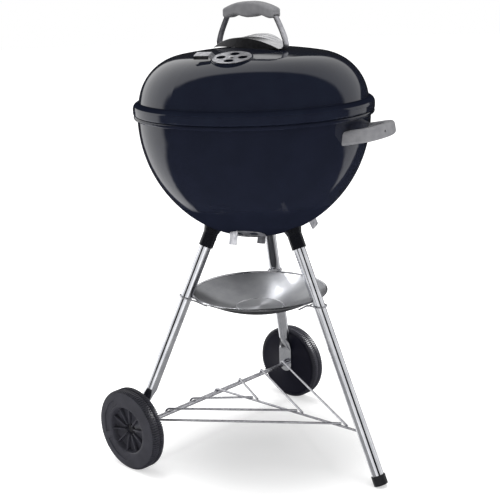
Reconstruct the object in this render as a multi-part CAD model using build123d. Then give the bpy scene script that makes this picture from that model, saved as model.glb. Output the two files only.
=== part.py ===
from build123d import *
import math
import os

# Kettle charcoal grill in millimetres, +Z up, standing on z = 0.
# X runs along the wheel axle and +Y points from the wheels to the third foot.
# Pieces are drawn round the kettle axis and moved by KETTLE_Y when they are written.

# Bowl
RIM_HEIGHT = 757.0
BOWL_RADIUS = 243.0
BOWL_WALL = 1.2
BOWL_STRAIGHT = 10.0
BOWL_SIDE_BULGE = 22.0
BOWL_FLOOR_BULGE = 33.0
BOWL_BEAD = 4.5

# Lid
LID_OVERHANG = 8.5
LID_INSET = 3.5
LID_WALL = 1.2
LID_SHOULDER_ARC = 105.0
LID_CROWN_ARC = 855.0
LID_SPRING_LINE = 13.0
LID_CREASE = 25.0
LID_HEM = 3.5
LID_SEAT_GAP = 0.3

# Legs
FOOT_RADIUS = 327.0
LEG_LEAN = 23.9
LEG_RADIUS = 12.5
LEG_WALL = 1.2
FRONT_LEG_AZIMUTH = 90.0
LEG_COUNT = 3
SOCKET_LENGTH = 42.0
SOCKET_WALL = 2.8
SOCKET_FLARE = 3.5
SOCKET_FLARE_LENGTH = 11.0
SOCKET_FIT = 0.2
LEG_HEADROOM = 5.0
BUTTON_RADIUS = 3.5
BUTTON_DEPTH = 22.0
BUTTON_PROUD = 1.6

# Foot cap
CAP_WALL = 2.4
CAP_LENGTH = 21.0
CAP_FLOOR = 7.0
CAP_LIFT = 3.3

# Wheel-leg ends and axle
WHEEL_RADIUS = 89.0
WHEEL_WIDTH = 35.0
PLATE_WIDTH = 38.0
PLATE_THICK = 4.0
PLATE_INSET = 8.0
PLATE_TOP = 128.0
TAPER_TOP = 172.0
FLAT_POINTS = 24
FLAT_POWER = 0.5
AXLE_RADIUS = 5.0
AXLE_FIT = 0.08
HUB_GAP = 0.5
HUB_RADIUS = 14.0
HUB_REACH = 19.0
HUB_RECESS = 2.0
WHEEL_WEB_OUTER = 5.0
WHEEL_WEB = 4.0
WHEEL_MOUTH = 45.0
WHEEL_BARREL = 42.0
WHEEL_RIBS = 8
WHEEL_RIB_ANGLE = 10.0
WHEEL_RIB_THICK = 3.0
WHEEL_RIB_HEIGHT = 8.0
TREAD_GROOVE = 6.0
TREAD_GROOVE_DEPTH = 3.0
TREAD_SHOULDER = 4.0
MOUTH_CHAMFER = 2.0
SIDE_GROOVE_INNER = 57.0
SIDE_GROOVE_OUTER = 72.0
SIDE_GROOVE_DEPTH = 2.0
SIDE_GROOVE_ANGLE = {"upper": 117.0, "lower": 208.0}
SIDE_GROOVE_SPAN_ANGLE = {"upper": 80.0, "lower": 62.0}
AXLE_CAP_RADIUS = 9.0
AXLE_CAP_DEPTH = 6.0
AXLE_GRIP = 4.0

# Wire rack on the axle
ROD_RADIUS = 2.5
ROD_FIT = 0.1
ROD_PITCH = 76.2
ROD_WRAP = 120.0
ROD_OVERRUN = 1.5
RACK_END_HEIGHT = 106.0
RACK_END_DEPTH = 8.0
RACK_MEETS = {"inner": -24.0, "middle": 108.0, "outer": 230.0}
RACK_STAGGER = 8.5

# Ash pan and its wire clips
PAN_LEG_GAP = 3.15
PAN_HEIGHT = 366.0
PAN_WALL = 1.0
PAN_BEAD = 2.5
PAN_DISH_ARC = 265.0
PAN_FLAT_RADIUS = 54.0
PAN_STEP = 2.0
PAN_STEP_RUN = 4.0
CLIP_RADIUS = 1.75
CLIP_REACH = 24.0
CLIP_DIP = 14.0
CLIP_RISE = {"front": 0.0, "left": 5.0, "right": 12.0}
CLIP_FIT = 0.3

# Side handle
HANDLE_AZIMUTH = 105.0
HANDLE_DROP = 40.0
HANDLE_TILT = 10.0
HANDLE_HALF_LENGTH = 72.0
HANDLE_DEPTH = 64.0
HANDLE_SHOULDER = 44.0
HANDLE_BAR = 22.0
HANDLE_THICK = 27.0
HANDLE_ROUND = 7.0
HANDLE_HOLE_RADIUS = 2.8
HANDLE_HOLE_OFFSET = 26.0
HANDLE_BOLT_RADIUS = 3.0
HANDLE_BOLT_LENGTH = 20.0
HANDLE_BOLT_HEAD = 7.0
HANDLE_BOLT_OFFSET = 59.0

# Dampers
VENT_HOLES = 4
VENT_HOLE_RADIUS = 9.5
VENT_PITCH_RADIUS = 22.0
DAMPER_SHEET = 1.2
DAMPER_GAP = 0.3
RIVET_RADIUS = 3.0
RIVET_HEAD = 6.5
RIVET_DOME = 2.6
RIVET_FIT = 0.08
BOWL_VENT_RADIUS = 92.0
BOWL_DAMPER_RADIUS = 36.0
BOWL_DAMPER_TURN = {"right": 45.0, "left": 225.0, "rear": 45.0}
EAR_WIDTH = 30.0
EAR_LONG_DROP = 25.0
EAR_SHORT_DROP = 22.0
EAR_ROUND = 4.0
LID_VENT_AZIMUTH = 27.0
LID_VENT_RADIUS = 144.0
LID_VENT_TILT = 12.6
LID_DAMPER_RADIUS = 39.0
LID_SEAT_RADIUS = 42.0
LID_SEAT_RISE = 0.3
LID_SEAT_SINK = 8.0
TAB_WIDTH = 26.0
TAB_START = 34.0
TAB_STEP = 44.0
TAB_REACH = 74.0
TAB_RISE = 7.0
TAB_LIP = 6.0

# Lid handle and heat shield
GRIP_LENGTH = 138.0
GRIP_WIDTH = 31.0
GRIP_TOP = 91.0
GRIP_END_TOP = 76.0
GRIP_BOTTOM = 57.5
GRIP_SCALLOP = 5.5
GRIP_HUMP = 20.0
GRIP_ROUND = 6.0
STRAP_WIDTH = 16.0
STRAP_THICK = 2.2
STRAP_FOOT_INNER = 54.0
STRAP_FOOT_OUTER = 95.0
STRAP_BOW = 92.0
STRAP_BOW_HEIGHT = 30.0
STRAP_TOP_REACH = 64.0
STRAP_TOP_HEIGHT = 69.0
STRAP_BEND = 7.0
STRAP_FIT = 0.2
SHIELD_SHEET = 1.2
SHIELD_END = 78.0
SHIELD_KNEE = 54.0
SHIELD_CROWN = 26.0
SHIELD_RISE = 17.0
SHIELD_BEND = 40.0
SHIELD_TAB = 9.0
SHIELD_FRONT = 34.0
SHIELD_REAR = 38.0
SHIELD_FRONT_DROP = 0.04
SHIELD_REAR_LIFT = 0.12
SHIELD_LIP = 8.0
SHIELD_CLEARANCE = 1.0
BOLT_PLACE = 70.0
BOLT_RADIUS = 3.0
BOLT_HEAD = 6.5
BOLT_DOME = 4.0
BOLT_TAIL = 9.0
NUT_RADIUS = 6.0
NUT_HEIGHT = 5.0
HOLE_FIT = 0.2
SEAT_FIT = 0.1

# Grates and their brackets
GRATE_CLEARANCE = 19.5
GRATE_WIRE = 3.0
GRATE_ROD = 2.25
GRATE_ROD_PITCH = 17.0
GRATE_WELD = 0.8
GRATE_HANDLE_SPAN = 70.0
GRATE_HANDLE_RISE = 30.0
GRATE_HANDLE_BEND = 12.0
COOKING_LEDGE_DROP = 45.0
COOKING_LEDGE_REACH = 14.0
COAL_CLEARANCE = 28.4
COAL_ROD = 3.25
COAL_ROD_PITCH = 25.0
COAL_CROSS = 60.0
COAL_LEDGE_DROP = 155.0
COAL_LEDGE_REACH = 20.0
BRACKET_WIDTH = 20.0
BRACKET_SHEET = 2.0
BRACKET_LEG = 22.0
BRACKET_BACK = 12.0
COOKING_BRACKET_AZIMUTH = 45.0

# Values that follow from the sizes above
BOWL_SIDE_ARC = BOWL_RADIUS + BOWL_SIDE_BULGE
BOWL_FLOOR_ARC = BOWL_SIDE_ARC - BOWL_FLOOR_BULGE
SIDE_CENTRE = (-BOWL_SIDE_BULGE, RIM_HEIGHT - BOWL_STRAIGHT)
SIDE_ANGLE = math.degrees(math.acos(BOWL_SIDE_BULGE / BOWL_FLOOR_BULGE))
FLOOR_CENTRE = (0.0, SIDE_CENTRE[1] - BOWL_FLOOR_BULGE * math.sin(math.radians(SIDE_ANGLE)))
LID_FLANGE_RADIUS = BOWL_RADIUS + LID_OVERHANG
LID_RADIUS = BOWL_RADIUS - LID_INSET
HANDLE_HEIGHT = RIM_HEIGHT - HANDLE_DROP
COOKING_LEDGE_HEIGHT = RIM_HEIGHT - COOKING_LEDGE_DROP
COAL_LEDGE_HEIGHT = RIM_HEIGHT - COAL_LEDGE_DROP
SHOULDER_CENTRE = (LID_RADIUS - LID_SHOULDER_ARC, RIM_HEIGHT + LID_SPRING_LINE)
CROWN_ANGLE = math.degrees(math.acos(SHOULDER_CENTRE[0] / (LID_CROWN_ARC - LID_SHOULDER_ARC)))
CROWN_CENTRE = (
    0.0,
    SHOULDER_CENTRE[1] - (LID_CROWN_ARC - LID_SHOULDER_ARC) * math.sin(math.radians(CROWN_ANGLE)),
)
LID_TOP = CROWN_CENTRE[1] + LID_CROWN_ARC
LEAN = math.radians(LEG_LEAN)
LEG_STEP = 360 / LEG_COUNT
LEG_AZIMUTH = {name: FRONT_LEG_AZIMUTH + LEG_STEP * turn for turn, name in enumerate(("front", "left", "right"))}
OPPOSITE_LEG = {"right": "left", "left": "right", "rear": "front"}
BOWL_DAMPER_AZIMUTH = {name: LEG_AZIMUTH[leg] + 180 for name, leg in OPPOSITE_LEG.items()}
PAN_RADIUS = FOOT_RADIUS - PAN_HEIGHT * math.tan(LEAN) - LEG_RADIUS / math.cos(LEAN) - PAN_LEG_GAP
GRATE_RING_HEIGHT = COOKING_LEDGE_HEIGHT + GRATE_WIRE + CLIP_FIT
AXLE_HEIGHT = WHEEL_RADIUS
WHEEL_LEG_RADIUS = FOOT_RADIUS - AXLE_HEIGHT * math.tan(LEAN)
AXLE_Y = WHEEL_LEG_RADIUS * math.sin(math.radians(LEG_AZIMUTH["right"]))
PLATE_X = WHEEL_LEG_RADIUS * math.cos(math.radians(LEG_AZIMUTH["right"])) - PLATE_INSET
WHEEL_X = PLATE_X + PLATE_THICK / 2 + HUB_GAP + HUB_REACH
HUB_FACE_X = WHEEL_X - HUB_RECESS
CAP_RADIUS = LEG_RADIUS + CAP_WALL
CAP_FOOT_RADIUS = FOOT_RADIUS - CAP_LIFT * math.sin(LEAN)
FOOT_REACH = CAP_FOOT_RADIUS + CAP_RADIUS * math.cos(LEAN)
KETTLE_Y = (LID_FLANGE_RADIUS - FOOT_REACH) / 2
CLIP_SLOPE = math.atan2(CLIP_DIP, CLIP_REACH)
CLIP_DROP = (PAN_BEAD + CLIP_RADIUS + SEAT_FIT) / math.cos(CLIP_SLOPE) - PAN_BEAD * math.tan(CLIP_SLOPE)
CLIP_HEIGHT = PAN_HEIGHT - PAN_BEAD - CLIP_DROP


def polar(centre, radius, angle):
    """Point at an angle in degrees on a circle in the drawing plane."""
    turn = math.radians(angle)
    return (centre[0] + radius * math.cos(turn), centre[1] + radius * math.sin(turn))


def arc(centre, radius, start, end):
    """Arc in the drawing plane from one angle to another, in degrees."""
    middle = (start + end) / 2
    return ThreePointArc(
        polar(centre, radius, start), polar(centre, radius, middle), polar(centre, radius, end)
    )


def spun(edges):
    """Solid of revolution about the kettle axis from edges drawn as radius and height."""
    return revolve(Plane.XZ * make_face(edges), Axis.Z)


def outward(azimuth):
    """Horizontal unit vector away from the kettle axis."""
    return Vector(math.cos(math.radians(azimuth)), math.sin(math.radians(azimuth)), 0)


def sideways(azimuth):
    """Horizontal unit vector along the rim, anticlockwise from above."""
    return Vector(-math.sin(math.radians(azimuth)), math.cos(math.radians(azimuth)), 0)


def rod_along(path, radius):
    """Round wire swept along a path."""
    return sweep(Plane(origin=path @ 0, z_dir=path % 0) * Circle(radius), path=path)


def dome(radius, height):
    """Rounded fastener head standing on the drawing plane."""
    ball = (radius**2 + height**2) / (2 * height)
    cap = Pos(0, 0, height - ball) * Sphere(ball)
    return cap & Pos(0, 0, height / 2) * Cylinder(2 * radius, height)


def bowl_curve(inset, top):
    """Edges of the bowl wall from the axis up, moved inwards by an inset."""
    start = (0.0, FLOOR_CENTRE[1] - BOWL_FLOOR_ARC + inset)
    floor = arc(FLOOR_CENTRE, BOWL_FLOOR_ARC - inset, -90, -SIDE_ANGLE)
    side = arc(SIDE_CENTRE, BOWL_SIDE_ARC - inset, -SIDE_ANGLE, 0)
    wall = Line(side @ 1, (BOWL_RADIUS - inset, top))
    return start, [floor, side, wall], (BOWL_RADIUS - inset, top)


def bowl_volume(inset):
    """Space inside the bowl wall, or round it for a negative inset."""
    start, edges, end = bowl_curve(inset, RIM_HEIGHT)
    lid_line = Line(end, (0, RIM_HEIGHT))
    return spun(edges + [lid_line, Line((0, RIM_HEIGHT), start)])


def bowl_radius(height, inset):
    """Radius of the bowl wall at a height."""
    if height > SIDE_CENTRE[1]:
        return BOWL_RADIUS - inset
    side = BOWL_SIDE_ARC - inset
    if height > SIDE_CENTRE[1] - side * math.sin(math.radians(SIDE_ANGLE)):
        return SIDE_CENTRE[0] + math.sqrt(side**2 - (SIDE_CENTRE[1] - height) ** 2)
    return math.sqrt((BOWL_FLOOR_ARC - inset) ** 2 - (FLOOR_CENTRE[1] - height) ** 2)


GRATE_RING_RADIUS = bowl_radius(COOKING_LEDGE_HEIGHT, BOWL_WALL) - GRATE_CLEARANCE
COAL_RADIUS = bowl_radius(COAL_LEDGE_HEIGHT, BOWL_WALL) - COAL_CLEARANCE
COAL_BRACKET_AZIMUTH = math.degrees(math.asin(COAL_CROSS / COAL_RADIUS))


def floor_frame(azimuth, inset):
    """Plane on the bowl floor at a vent, facing out of the bowl."""
    tilt = math.asin(BOWL_VENT_RADIUS / BOWL_FLOOR_ARC)
    normal = outward(azimuth) * math.sin(tilt) - Vector(0, 0, math.cos(tilt))
    origin = Vector(0, 0, FLOOR_CENTRE[1]) + normal * (BOWL_FLOOR_ARC - inset)
    return Plane(origin=origin, x_dir=sideways(azimuth), z_dir=normal)


def vent_drills(depth):
    """Round vent holes about a damper axis, drilled both ways from the drawing plane."""
    return PolarLocations(VENT_PITCH_RADIUS, VENT_HOLES) * Cylinder(VENT_HOLE_RADIUS, 2 * depth)


def bowl_shell():
    """Enamelled bowl with a rolled rim, three vents and two handle bolt holes."""
    bead = (BOWL_RADIUS - BOWL_WALL + BOWL_BEAD, RIM_HEIGHT - BOWL_BEAD)
    meets = 180 + math.degrees(math.acos((bead[0] - BOWL_RADIUS) / BOWL_BEAD))
    outer_start, outer, _ = bowl_curve(0, polar(bead, BOWL_BEAD, meets)[1])
    inner_start, inner, _ = bowl_curve(BOWL_WALL, bead[1])
    roll = [arc(bead, BOWL_BEAD, meets, 360), arc(bead, BOWL_BEAD, 360, 540)]
    shell = spun(outer + roll + inner + [Line(outer_start, inner_start)])
    for azimuth in BOWL_DAMPER_AZIMUTH.values():
        frame = floor_frame(azimuth, 0)
        shell -= [frame * drill for drill in vent_drills(VENT_HOLE_RADIUS)]
        shell -= frame * Cylinder(RIVET_RADIUS + SEAT_FIT, 4 * VENT_HOLE_RADIUS)
    for place in handle_bolt_places():
        shell -= place * Cylinder(HANDLE_BOLT_RADIUS + HOLE_FIT, 2 * HANDLE_BOLT_LENGTH)
    return shell


def leg_axis(azimuth):
    """Unit vector down a leg."""
    return outward(azimuth) * math.sin(LEAN) - Vector(0, 0, math.cos(LEAN))


def leg_point(azimuth, height):
    """Point on a leg's centre line at a height."""
    radius = FOOT_RADIUS - height * math.tan(LEAN)
    return outward(azimuth) * radius + Vector(0, 0, height)


def leg_top_height():
    """Height where a leg's centre line meets the bowl floor."""
    foot = Vector(FOOT_RADIUS, 0, -FLOOR_CENTRE[1])
    along = Vector(-math.sin(LEAN), 0, math.cos(LEAN))
    reach = -foot.dot(along)
    chord = math.sqrt(reach**2 - foot.dot(foot) + BOWL_FLOOR_ARC**2)
    return (reach - chord) * math.cos(LEAN)


def leg_plane(azimuth, height):
    """Plane square to a leg at a height, facing down the leg."""
    return Plane(origin=leg_point(azimuth, height), x_dir=sideways(azimuth), z_dir=leg_axis(azimuth))


def leg_tube(azimuth, top, bottom):
    """Plain tube between two heights on a leg's centre line."""
    ring = Circle(LEG_RADIUS) - Circle(LEG_RADIUS - LEG_WALL)
    return extrude(leg_plane(azimuth, top) * ring, (top - bottom) / math.cos(LEAN))


LEG_END = leg_top_height() - LEG_HEADROOM * math.cos(LEAN)
BUTTON_HEIGHT = leg_top_height() - BUTTON_DEPTH * math.cos(LEAN)


def button_plane(azimuth):
    """Plane on a leg's centre line facing the kettle axis, where its snap button sits."""
    inward = outward(azimuth) * -math.cos(LEAN) - Vector(0, 0, math.sin(LEAN))
    return Plane(origin=leg_point(azimuth, BUTTON_HEIGHT), x_dir=sideways(azimuth), z_dir=inward)


def leg_socket(azimuth):
    """Enamelled socket with a flared collar, welded to the bowl floor."""
    start = leg_top_height() + SOCKET_LENGTH / 2
    length = SOCKET_LENGTH + SOCKET_LENGTH / 2 / math.cos(LEAN)
    bore = LEG_RADIUS + SOCKET_FIT
    outer = bore + SOCKET_WALL
    tube = extrude(leg_plane(azimuth, start) * Circle(outer), length)
    tube += leg_plane(azimuth, leg_top_height()) * Cone(outer + 2 * SOCKET_FLARE, outer, 2 * SOCKET_FLARE_LENGTH)
    tube -= extrude(leg_plane(azimuth, start) * Circle(bore), length)
    tube -= Pos(0, 0, FLOOR_CENTRE[1]) * Sphere(BOWL_FLOOR_ARC + SEAT_FIT)
    hole = extrude(button_plane(azimuth) * Circle(BUTTON_RADIUS + HOLE_FIT), 2 * bore)
    return tube - hole


def button_hole(azimuth):
    """Drill for a snap button through one wall of a leg."""
    return extrude(button_plane(azimuth) * Circle(BUTTON_RADIUS + SEAT_FIT), 2 * LEG_RADIUS)


def snap_buttons():
    """Spring buttons that lock the three legs into their sockets."""
    reach = LEG_RADIUS + SOCKET_FIT + SOCKET_WALL
    pins = []
    for azimuth in LEG_AZIMUTH.values():
        plane = button_plane(azimuth)
        pin = extrude(plane * Circle(BUTTON_RADIUS), reach)
        pin += plane * Pos(0, 0, reach) * dome(BUTTON_RADIUS, BUTTON_PROUD)
        pins.append(pin)
    return Compound(pins)


def front_leg():
    """Straight leg with a hole for the end of the rack."""
    azimuth = LEG_AZIMUTH["front"]
    bottom = (CAP_LIFT + CAP_FLOOR) * math.cos(LEAN)
    leg = leg_tube(azimuth, LEG_END, bottom) - button_hole(azimuth)
    entry = Plane(origin=leg_point(azimuth, RACK_END_HEIGHT), z_dir=outward(azimuth) * -1)
    return leg - extrude(entry * Circle(ROD_RADIUS + 2 * HOLE_FIT), 2 * LEG_RADIUS)


def foot_cap():
    """Plastic cap on the front leg, cut flat where it stands."""
    azimuth = LEG_AZIMUTH["front"]
    top = (CAP_LIFT + CAP_LENGTH) * math.cos(LEAN)
    plane = leg_plane(azimuth, top)
    cap = extrude(plane * Circle(CAP_RADIUS), CAP_LENGTH)
    cap = fillet(cap.edges().filter_by(GeomType.CIRCLE), CAP_WALL / 2)
    cap -= extrude(plane * Circle(LEG_RADIUS + SEAT_FIT), CAP_LENGTH - CAP_FLOOR)
    ground = Pos(0, FOOT_RADIUS, -CAP_LENGTH) * Box(4 * CAP_RADIUS, 4 * CAP_RADIUS, 2 * CAP_LENGTH)
    return cap - ground


def flattened_section():
    """Smooth outline of a leg tube where it is pressed almost flat."""
    points = []
    for index in range(FLAT_POINTS):
        turn = 2 * math.pi * index / FLAT_POINTS
        across = math.copysign(abs(math.cos(turn)) ** FLAT_POWER, math.cos(turn))
        through = math.copysign(abs(math.sin(turn)) ** FLAT_POWER, math.sin(turn))
        points.append((across * (PLATE_WIDTH / 2 - SEAT_FIT), through * (PLATE_THICK / 2 - SEAT_FIT)))
    return make_face(Spline(*points, periodic=True))


def wheel_leg():
    """Leg of the right wheel: a tube drawn flat at its end and pierced for the axle."""
    azimuth = LEG_AZIMUTH["right"]
    axis = leg_axis(azimuth)
    across = Vector(0, 1, 0) - axis * axis.Y
    taper_start = Plane(origin=leg_point(azimuth, TAPER_TOP), x_dir=across.normalized(), z_dir=axis)
    taper_low = PLATE_TOP - PLATE_THICK / 2
    taper_end = Plane(origin=(PLATE_X, AXLE_Y, taper_low), x_dir=(0, 1, 0), z_dir=(0, 0, -1))
    leg = leg_tube(azimuth, LEG_END, TAPER_TOP) - button_hole(azimuth)
    leg += loft([taper_start * Circle(LEG_RADIUS), taper_end * flattened_section()])
    side = Plane(origin=(PLATE_X - PLATE_THICK / 2, AXLE_Y, AXLE_HEIGHT), x_dir=(0, 1, 0), z_dir=(1, 0, 0))
    drop = PLATE_TOP - AXLE_HEIGHT
    outline = Circle(PLATE_WIDTH / 2) + Pos(0, drop / 2) * Rectangle(PLATE_WIDTH, drop)
    leg += extrude(side * outline, PLATE_THICK)
    return leg - extrude(side * Circle(AXLE_RADIUS + SEAT_FIT), PLATE_THICK)


def axle_end():
    """Distance from the middle to the end of the axle."""
    return HUB_FACE_X + HUB_GAP + AXLE_GRIP


def axle():
    """Plain steel axle through both wheel legs and wheels."""
    rod = Rot(0, 90, 0) * Cylinder(AXLE_RADIUS, 2 * axle_end())
    return Pos(0, AXLE_Y, AXLE_HEIGHT) * chamfer(rod.edges().filter_by(GeomType.CIRCLE), AXLE_FIT * 5)


def axle_cap():
    """Domed push-on cap on the right end of the axle."""
    cap = Cylinder(AXLE_CAP_RADIUS, AXLE_CAP_DEPTH, align=(Align.CENTER, Align.CENTER, Align.MIN))
    cap = fillet(cap.edges().group_by(Axis.Z)[-1], AXLE_CAP_DEPTH * 0.6)
    bore = Cylinder(AXLE_RADIUS + SEAT_FIT, AXLE_GRIP + SEAT_FIT, align=(Align.CENTER, Align.CENTER, Align.MIN))
    return Pos(HUB_FACE_X + HUB_GAP, AXLE_Y, AXLE_HEIGHT) * Rot(0, 90, 0) * (cap - bore)


def side_grooves():
    """Shallow curved panels sunk into a wheel's outer sidewall, drawn about X."""
    face = WHEEL_WIDTH / 2
    floor = face - SIDE_GROOVE_DEPTH
    section = Polyline(
        (face, SIDE_GROOVE_INNER), (floor, SIDE_GROOVE_INNER + SIDE_GROOVE_DEPTH),
        (floor, SIDE_GROOVE_OUTER - SIDE_GROOVE_DEPTH), (face, SIDE_GROOVE_OUTER), close=True,
    )
    panels = []
    for name, start in SIDE_GROOVE_ANGLE.items():
        panel = revolve(make_face(section), Axis.X, revolution_arc=SIDE_GROOVE_SPAN_ANGLE[name])
        panels.append(Rot(start, 0, 0) * panel)
    return panels


def wheel():
    """Moulded right wheel: tread, panelled sidewall, dished web, hub and ribs."""
    half = WHEEL_WIDTH / 2
    shoulder = WHEEL_RADIUS - TREAD_SHOULDER
    groove = TREAD_GROOVE / 2
    web_face = -WHEEL_WEB_OUTER
    web_back = web_face - WHEEL_WEB
    bore = AXLE_RADIUS + AXLE_FIT
    section = Polyline(
        (-half, WHEEL_MOUTH), (-half, shoulder), (TREAD_SHOULDER - half, WHEEL_RADIUS),
        (-groove, WHEEL_RADIUS), (-groove, WHEEL_RADIUS - TREAD_GROOVE_DEPTH),
        (groove, WHEEL_RADIUS - TREAD_GROOVE_DEPTH), (groove, WHEEL_RADIUS),
        (half - TREAD_SHOULDER, WHEEL_RADIUS), (half, shoulder), (half, WHEEL_MOUTH + MOUTH_CHAMFER),
        (half - MOUTH_CHAMFER, WHEEL_MOUTH), (web_face, WHEEL_BARREL), (web_face, HUB_RADIUS),
        (-HUB_RECESS, HUB_RADIUS), (-HUB_RECESS, bore), (-HUB_REACH, bore), (-HUB_REACH, HUB_RADIUS),
        (web_back, HUB_RADIUS), (web_back, WHEEL_BARREL), (-half, WHEEL_MOUTH),
    )
    body = revolve(make_face(section), Axis.X)
    rib_face = Polyline(
        (web_face - WHEEL_WEB / 2, HUB_RADIUS - RIVET_RADIUS), (-HUB_RECESS, HUB_RADIUS - RIVET_RADIUS),
        (web_face + WHEEL_RIB_HEIGHT, (WHEEL_BARREL + WHEEL_MOUTH) / 2),
        (web_face - WHEEL_WEB / 2, WHEEL_BARREL + WHEEL_RIB_THICK / 2), close=True,
    )
    rib = extrude(make_face(rib_face), WHEEL_RIB_THICK / 2, both=True)
    body += [Rot(WHEEL_RIB_ANGLE + 360 * index / WHEEL_RIBS, 0, 0) * rib for index in range(WHEEL_RIBS)]
    body -= side_grooves()
    return Pos(WHEEL_X, AXLE_Y, AXLE_HEIGHT) * body


def rack_rod(start_x, end):
    """Rack wire hooked over the axle and running straight to its end point."""
    start = Vector(start_x, AXLE_Y, AXLE_HEIGHT)
    run = Vector(end.X - start.X, end.Y - start.Y, 0)
    heading = run.normalized()
    bend = (AXLE_RADIUS + ROD_RADIUS + ROD_FIT) / heading.Y
    rise = end.Z - start.Z
    slope = math.degrees(math.atan2(rise, run.length) - math.asin(bend / math.hypot(rise, run.length)))
    hook = arc((0, 0), bend, 90 + slope + ROD_WRAP, 90 + slope)
    path = hook + Line(hook @ 1, (run.length, rise))
    frame = Plane(origin=start, x_dir=heading, z_dir=heading.cross(Vector(0, 0, 1)))
    return rod_along(Wire((frame * path).edges()), ROD_RADIUS)


def rack_tip():
    """Point inside the front leg where the middle rack wire ends."""
    return leg_point(LEG_AZIMUTH["front"], RACK_END_HEIGHT) - Vector(0, LEG_RADIUS - RACK_END_DEPTH, 0)


def middle_rod_height(y):
    """Height of the middle rack wire's centre line at a distance along it."""
    start = AXLE_HEIGHT + AXLE_RADIUS + ROD_FIT + ROD_RADIUS
    tip = rack_tip()
    return start + (tip.Z - start) * (y - AXLE_Y) / (tip.Y - AXLE_Y)


def rack_side_rods():
    """Six rack wires that lie on the middle one, named by side and place."""
    rods = {}
    for side, sign in (("right", 1), ("left", -1)):
        for step, (place, meets) in enumerate(RACK_MEETS.items(), start=1):
            y = meets - sign * RACK_STAGGER
            lift = 2 * (ROD_RADIUS + ROD_FIT)
            end = Vector(-sign * ROD_OVERRUN, y, middle_rod_height(y) + lift)
            rods[f"rack_rod_{side}_{place}"] = rack_rod(sign * step * ROD_PITCH, end)
    return rods


def pan_flat_height():
    """Height of the outside of the ash pan's flat floor."""
    rim = PAN_RADIUS - PAN_BEAD
    drop = math.sqrt(PAN_DISH_ARC**2 - PAN_FLAT_RADIUS**2) - math.sqrt(PAN_DISH_ARC**2 - rim**2)
    return PAN_HEIGHT - PAN_BEAD - drop


def ash_pan():
    """Spun dish with a rolled rim and a stepped middle."""
    rim = PAN_RADIUS - PAN_BEAD
    centre = (0, PAN_HEIGHT - PAN_BEAD + math.sqrt(PAN_DISH_ARC**2 - rim**2))
    edge_angle = -math.degrees(math.acos(rim / PAN_DISH_ARC))
    flat_angle = -math.degrees(math.acos(PAN_FLAT_RADIUS / PAN_DISH_ARC))
    low = pan_flat_height()
    step = PAN_FLAT_RADIUS - PAN_STEP_RUN
    under = arc(centre, PAN_DISH_ARC, edge_angle, flat_angle)
    over = arc(centre, PAN_DISH_ARC - PAN_WALL, flat_angle, edge_angle)
    floor = Polyline(under @ 1, (step, low + PAN_STEP), (0, low + PAN_STEP), (0, low + PAN_STEP + PAN_WALL),
                     (step, low + PAN_STEP + PAN_WALL), over @ 0)
    dish = spun([under, over, Line(over @ 1, under @ 0)] + list(floor.edges()))
    return dish + Pos(0, 0, PAN_HEIGHT - PAN_BEAD) * Torus(rim, PAN_BEAD)


def pan_clip(azimuth, rise):
    """Wire clip sprung round a leg, with two arms under the pan's rim."""
    half = LEG_RADIUS + CLIP_FIT + CLIP_RADIUS
    grip = CLIP_HEIGHT + rise
    leg_radius = FOOT_RADIUS - grip * math.tan(LEAN)
    back = leg_radius + LEG_RADIUS / math.cos(LEAN) + CLIP_FIT + CLIP_RADIUS
    profile = [(PAN_RADIUS - CLIP_REACH, CLIP_HEIGHT - CLIP_DIP), (PAN_RADIUS, CLIP_HEIGHT), (back, grip)]

    def place(radius, height, side):
        return outward(azimuth) * radius + sideways(azimuth) * (side * half) + Vector(0, 0, height)

    points = [place(r, z, -1) for r, z in profile] + [place(r, z, 1) for r, z in reversed(profile)]
    corner = half - SEAT_FIT
    path = FilletPolyline(*points, radius=[2 * CLIP_RADIUS, corner, corner, 2 * CLIP_RADIUS])
    return rod_along(path, CLIP_RADIUS)


def wall_frame(azimuth, height):
    """Plane on the outside of the bowl's side wall, facing outwards."""
    dip = math.asin((SIDE_CENTRE[1] - height) / BOWL_SIDE_ARC)
    normal = outward(azimuth) * math.cos(dip) - Vector(0, 0, math.sin(dip))
    origin = outward(azimuth) * bowl_radius(height, 0) + Vector(0, 0, height)
    return Plane(origin=origin, x_dir=sideways(azimuth), z_dir=normal)


def handle_bolt_places():
    """Planes of the two side-handle bolts on the bowl wall."""
    swing = math.degrees(math.asin(HANDLE_BOLT_OFFSET / BOWL_RADIUS))
    return [wall_frame(HANDLE_AZIMUTH + sign * swing, HANDLE_HEIGHT) for sign in (-1, 1)]


def handle_outline(length, depth, shoulder):
    """D-shaped outline of the side handle, drawn along the wall and outwards."""
    root = -BOWL_RADIUS / 4
    corner = length * 0.78
    low = depth - shoulder
    right = ThreePointArc((length, low), (length * 0.95, low + shoulder * 0.45), (corner, depth - shoulder * 0.3))
    front = ThreePointArc((corner, depth - shoulder * 0.3), (0, depth), (-corner, depth - shoulder * 0.3))
    left = ThreePointArc((-corner, depth - shoulder * 0.3), (-length * 0.95, low + shoulder * 0.45), (-length, low))
    base = Polyline((-length, low), (-length, root), (length, root), (length, low))
    return make_face([right, front, left] + list(base.edges()))


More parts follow.
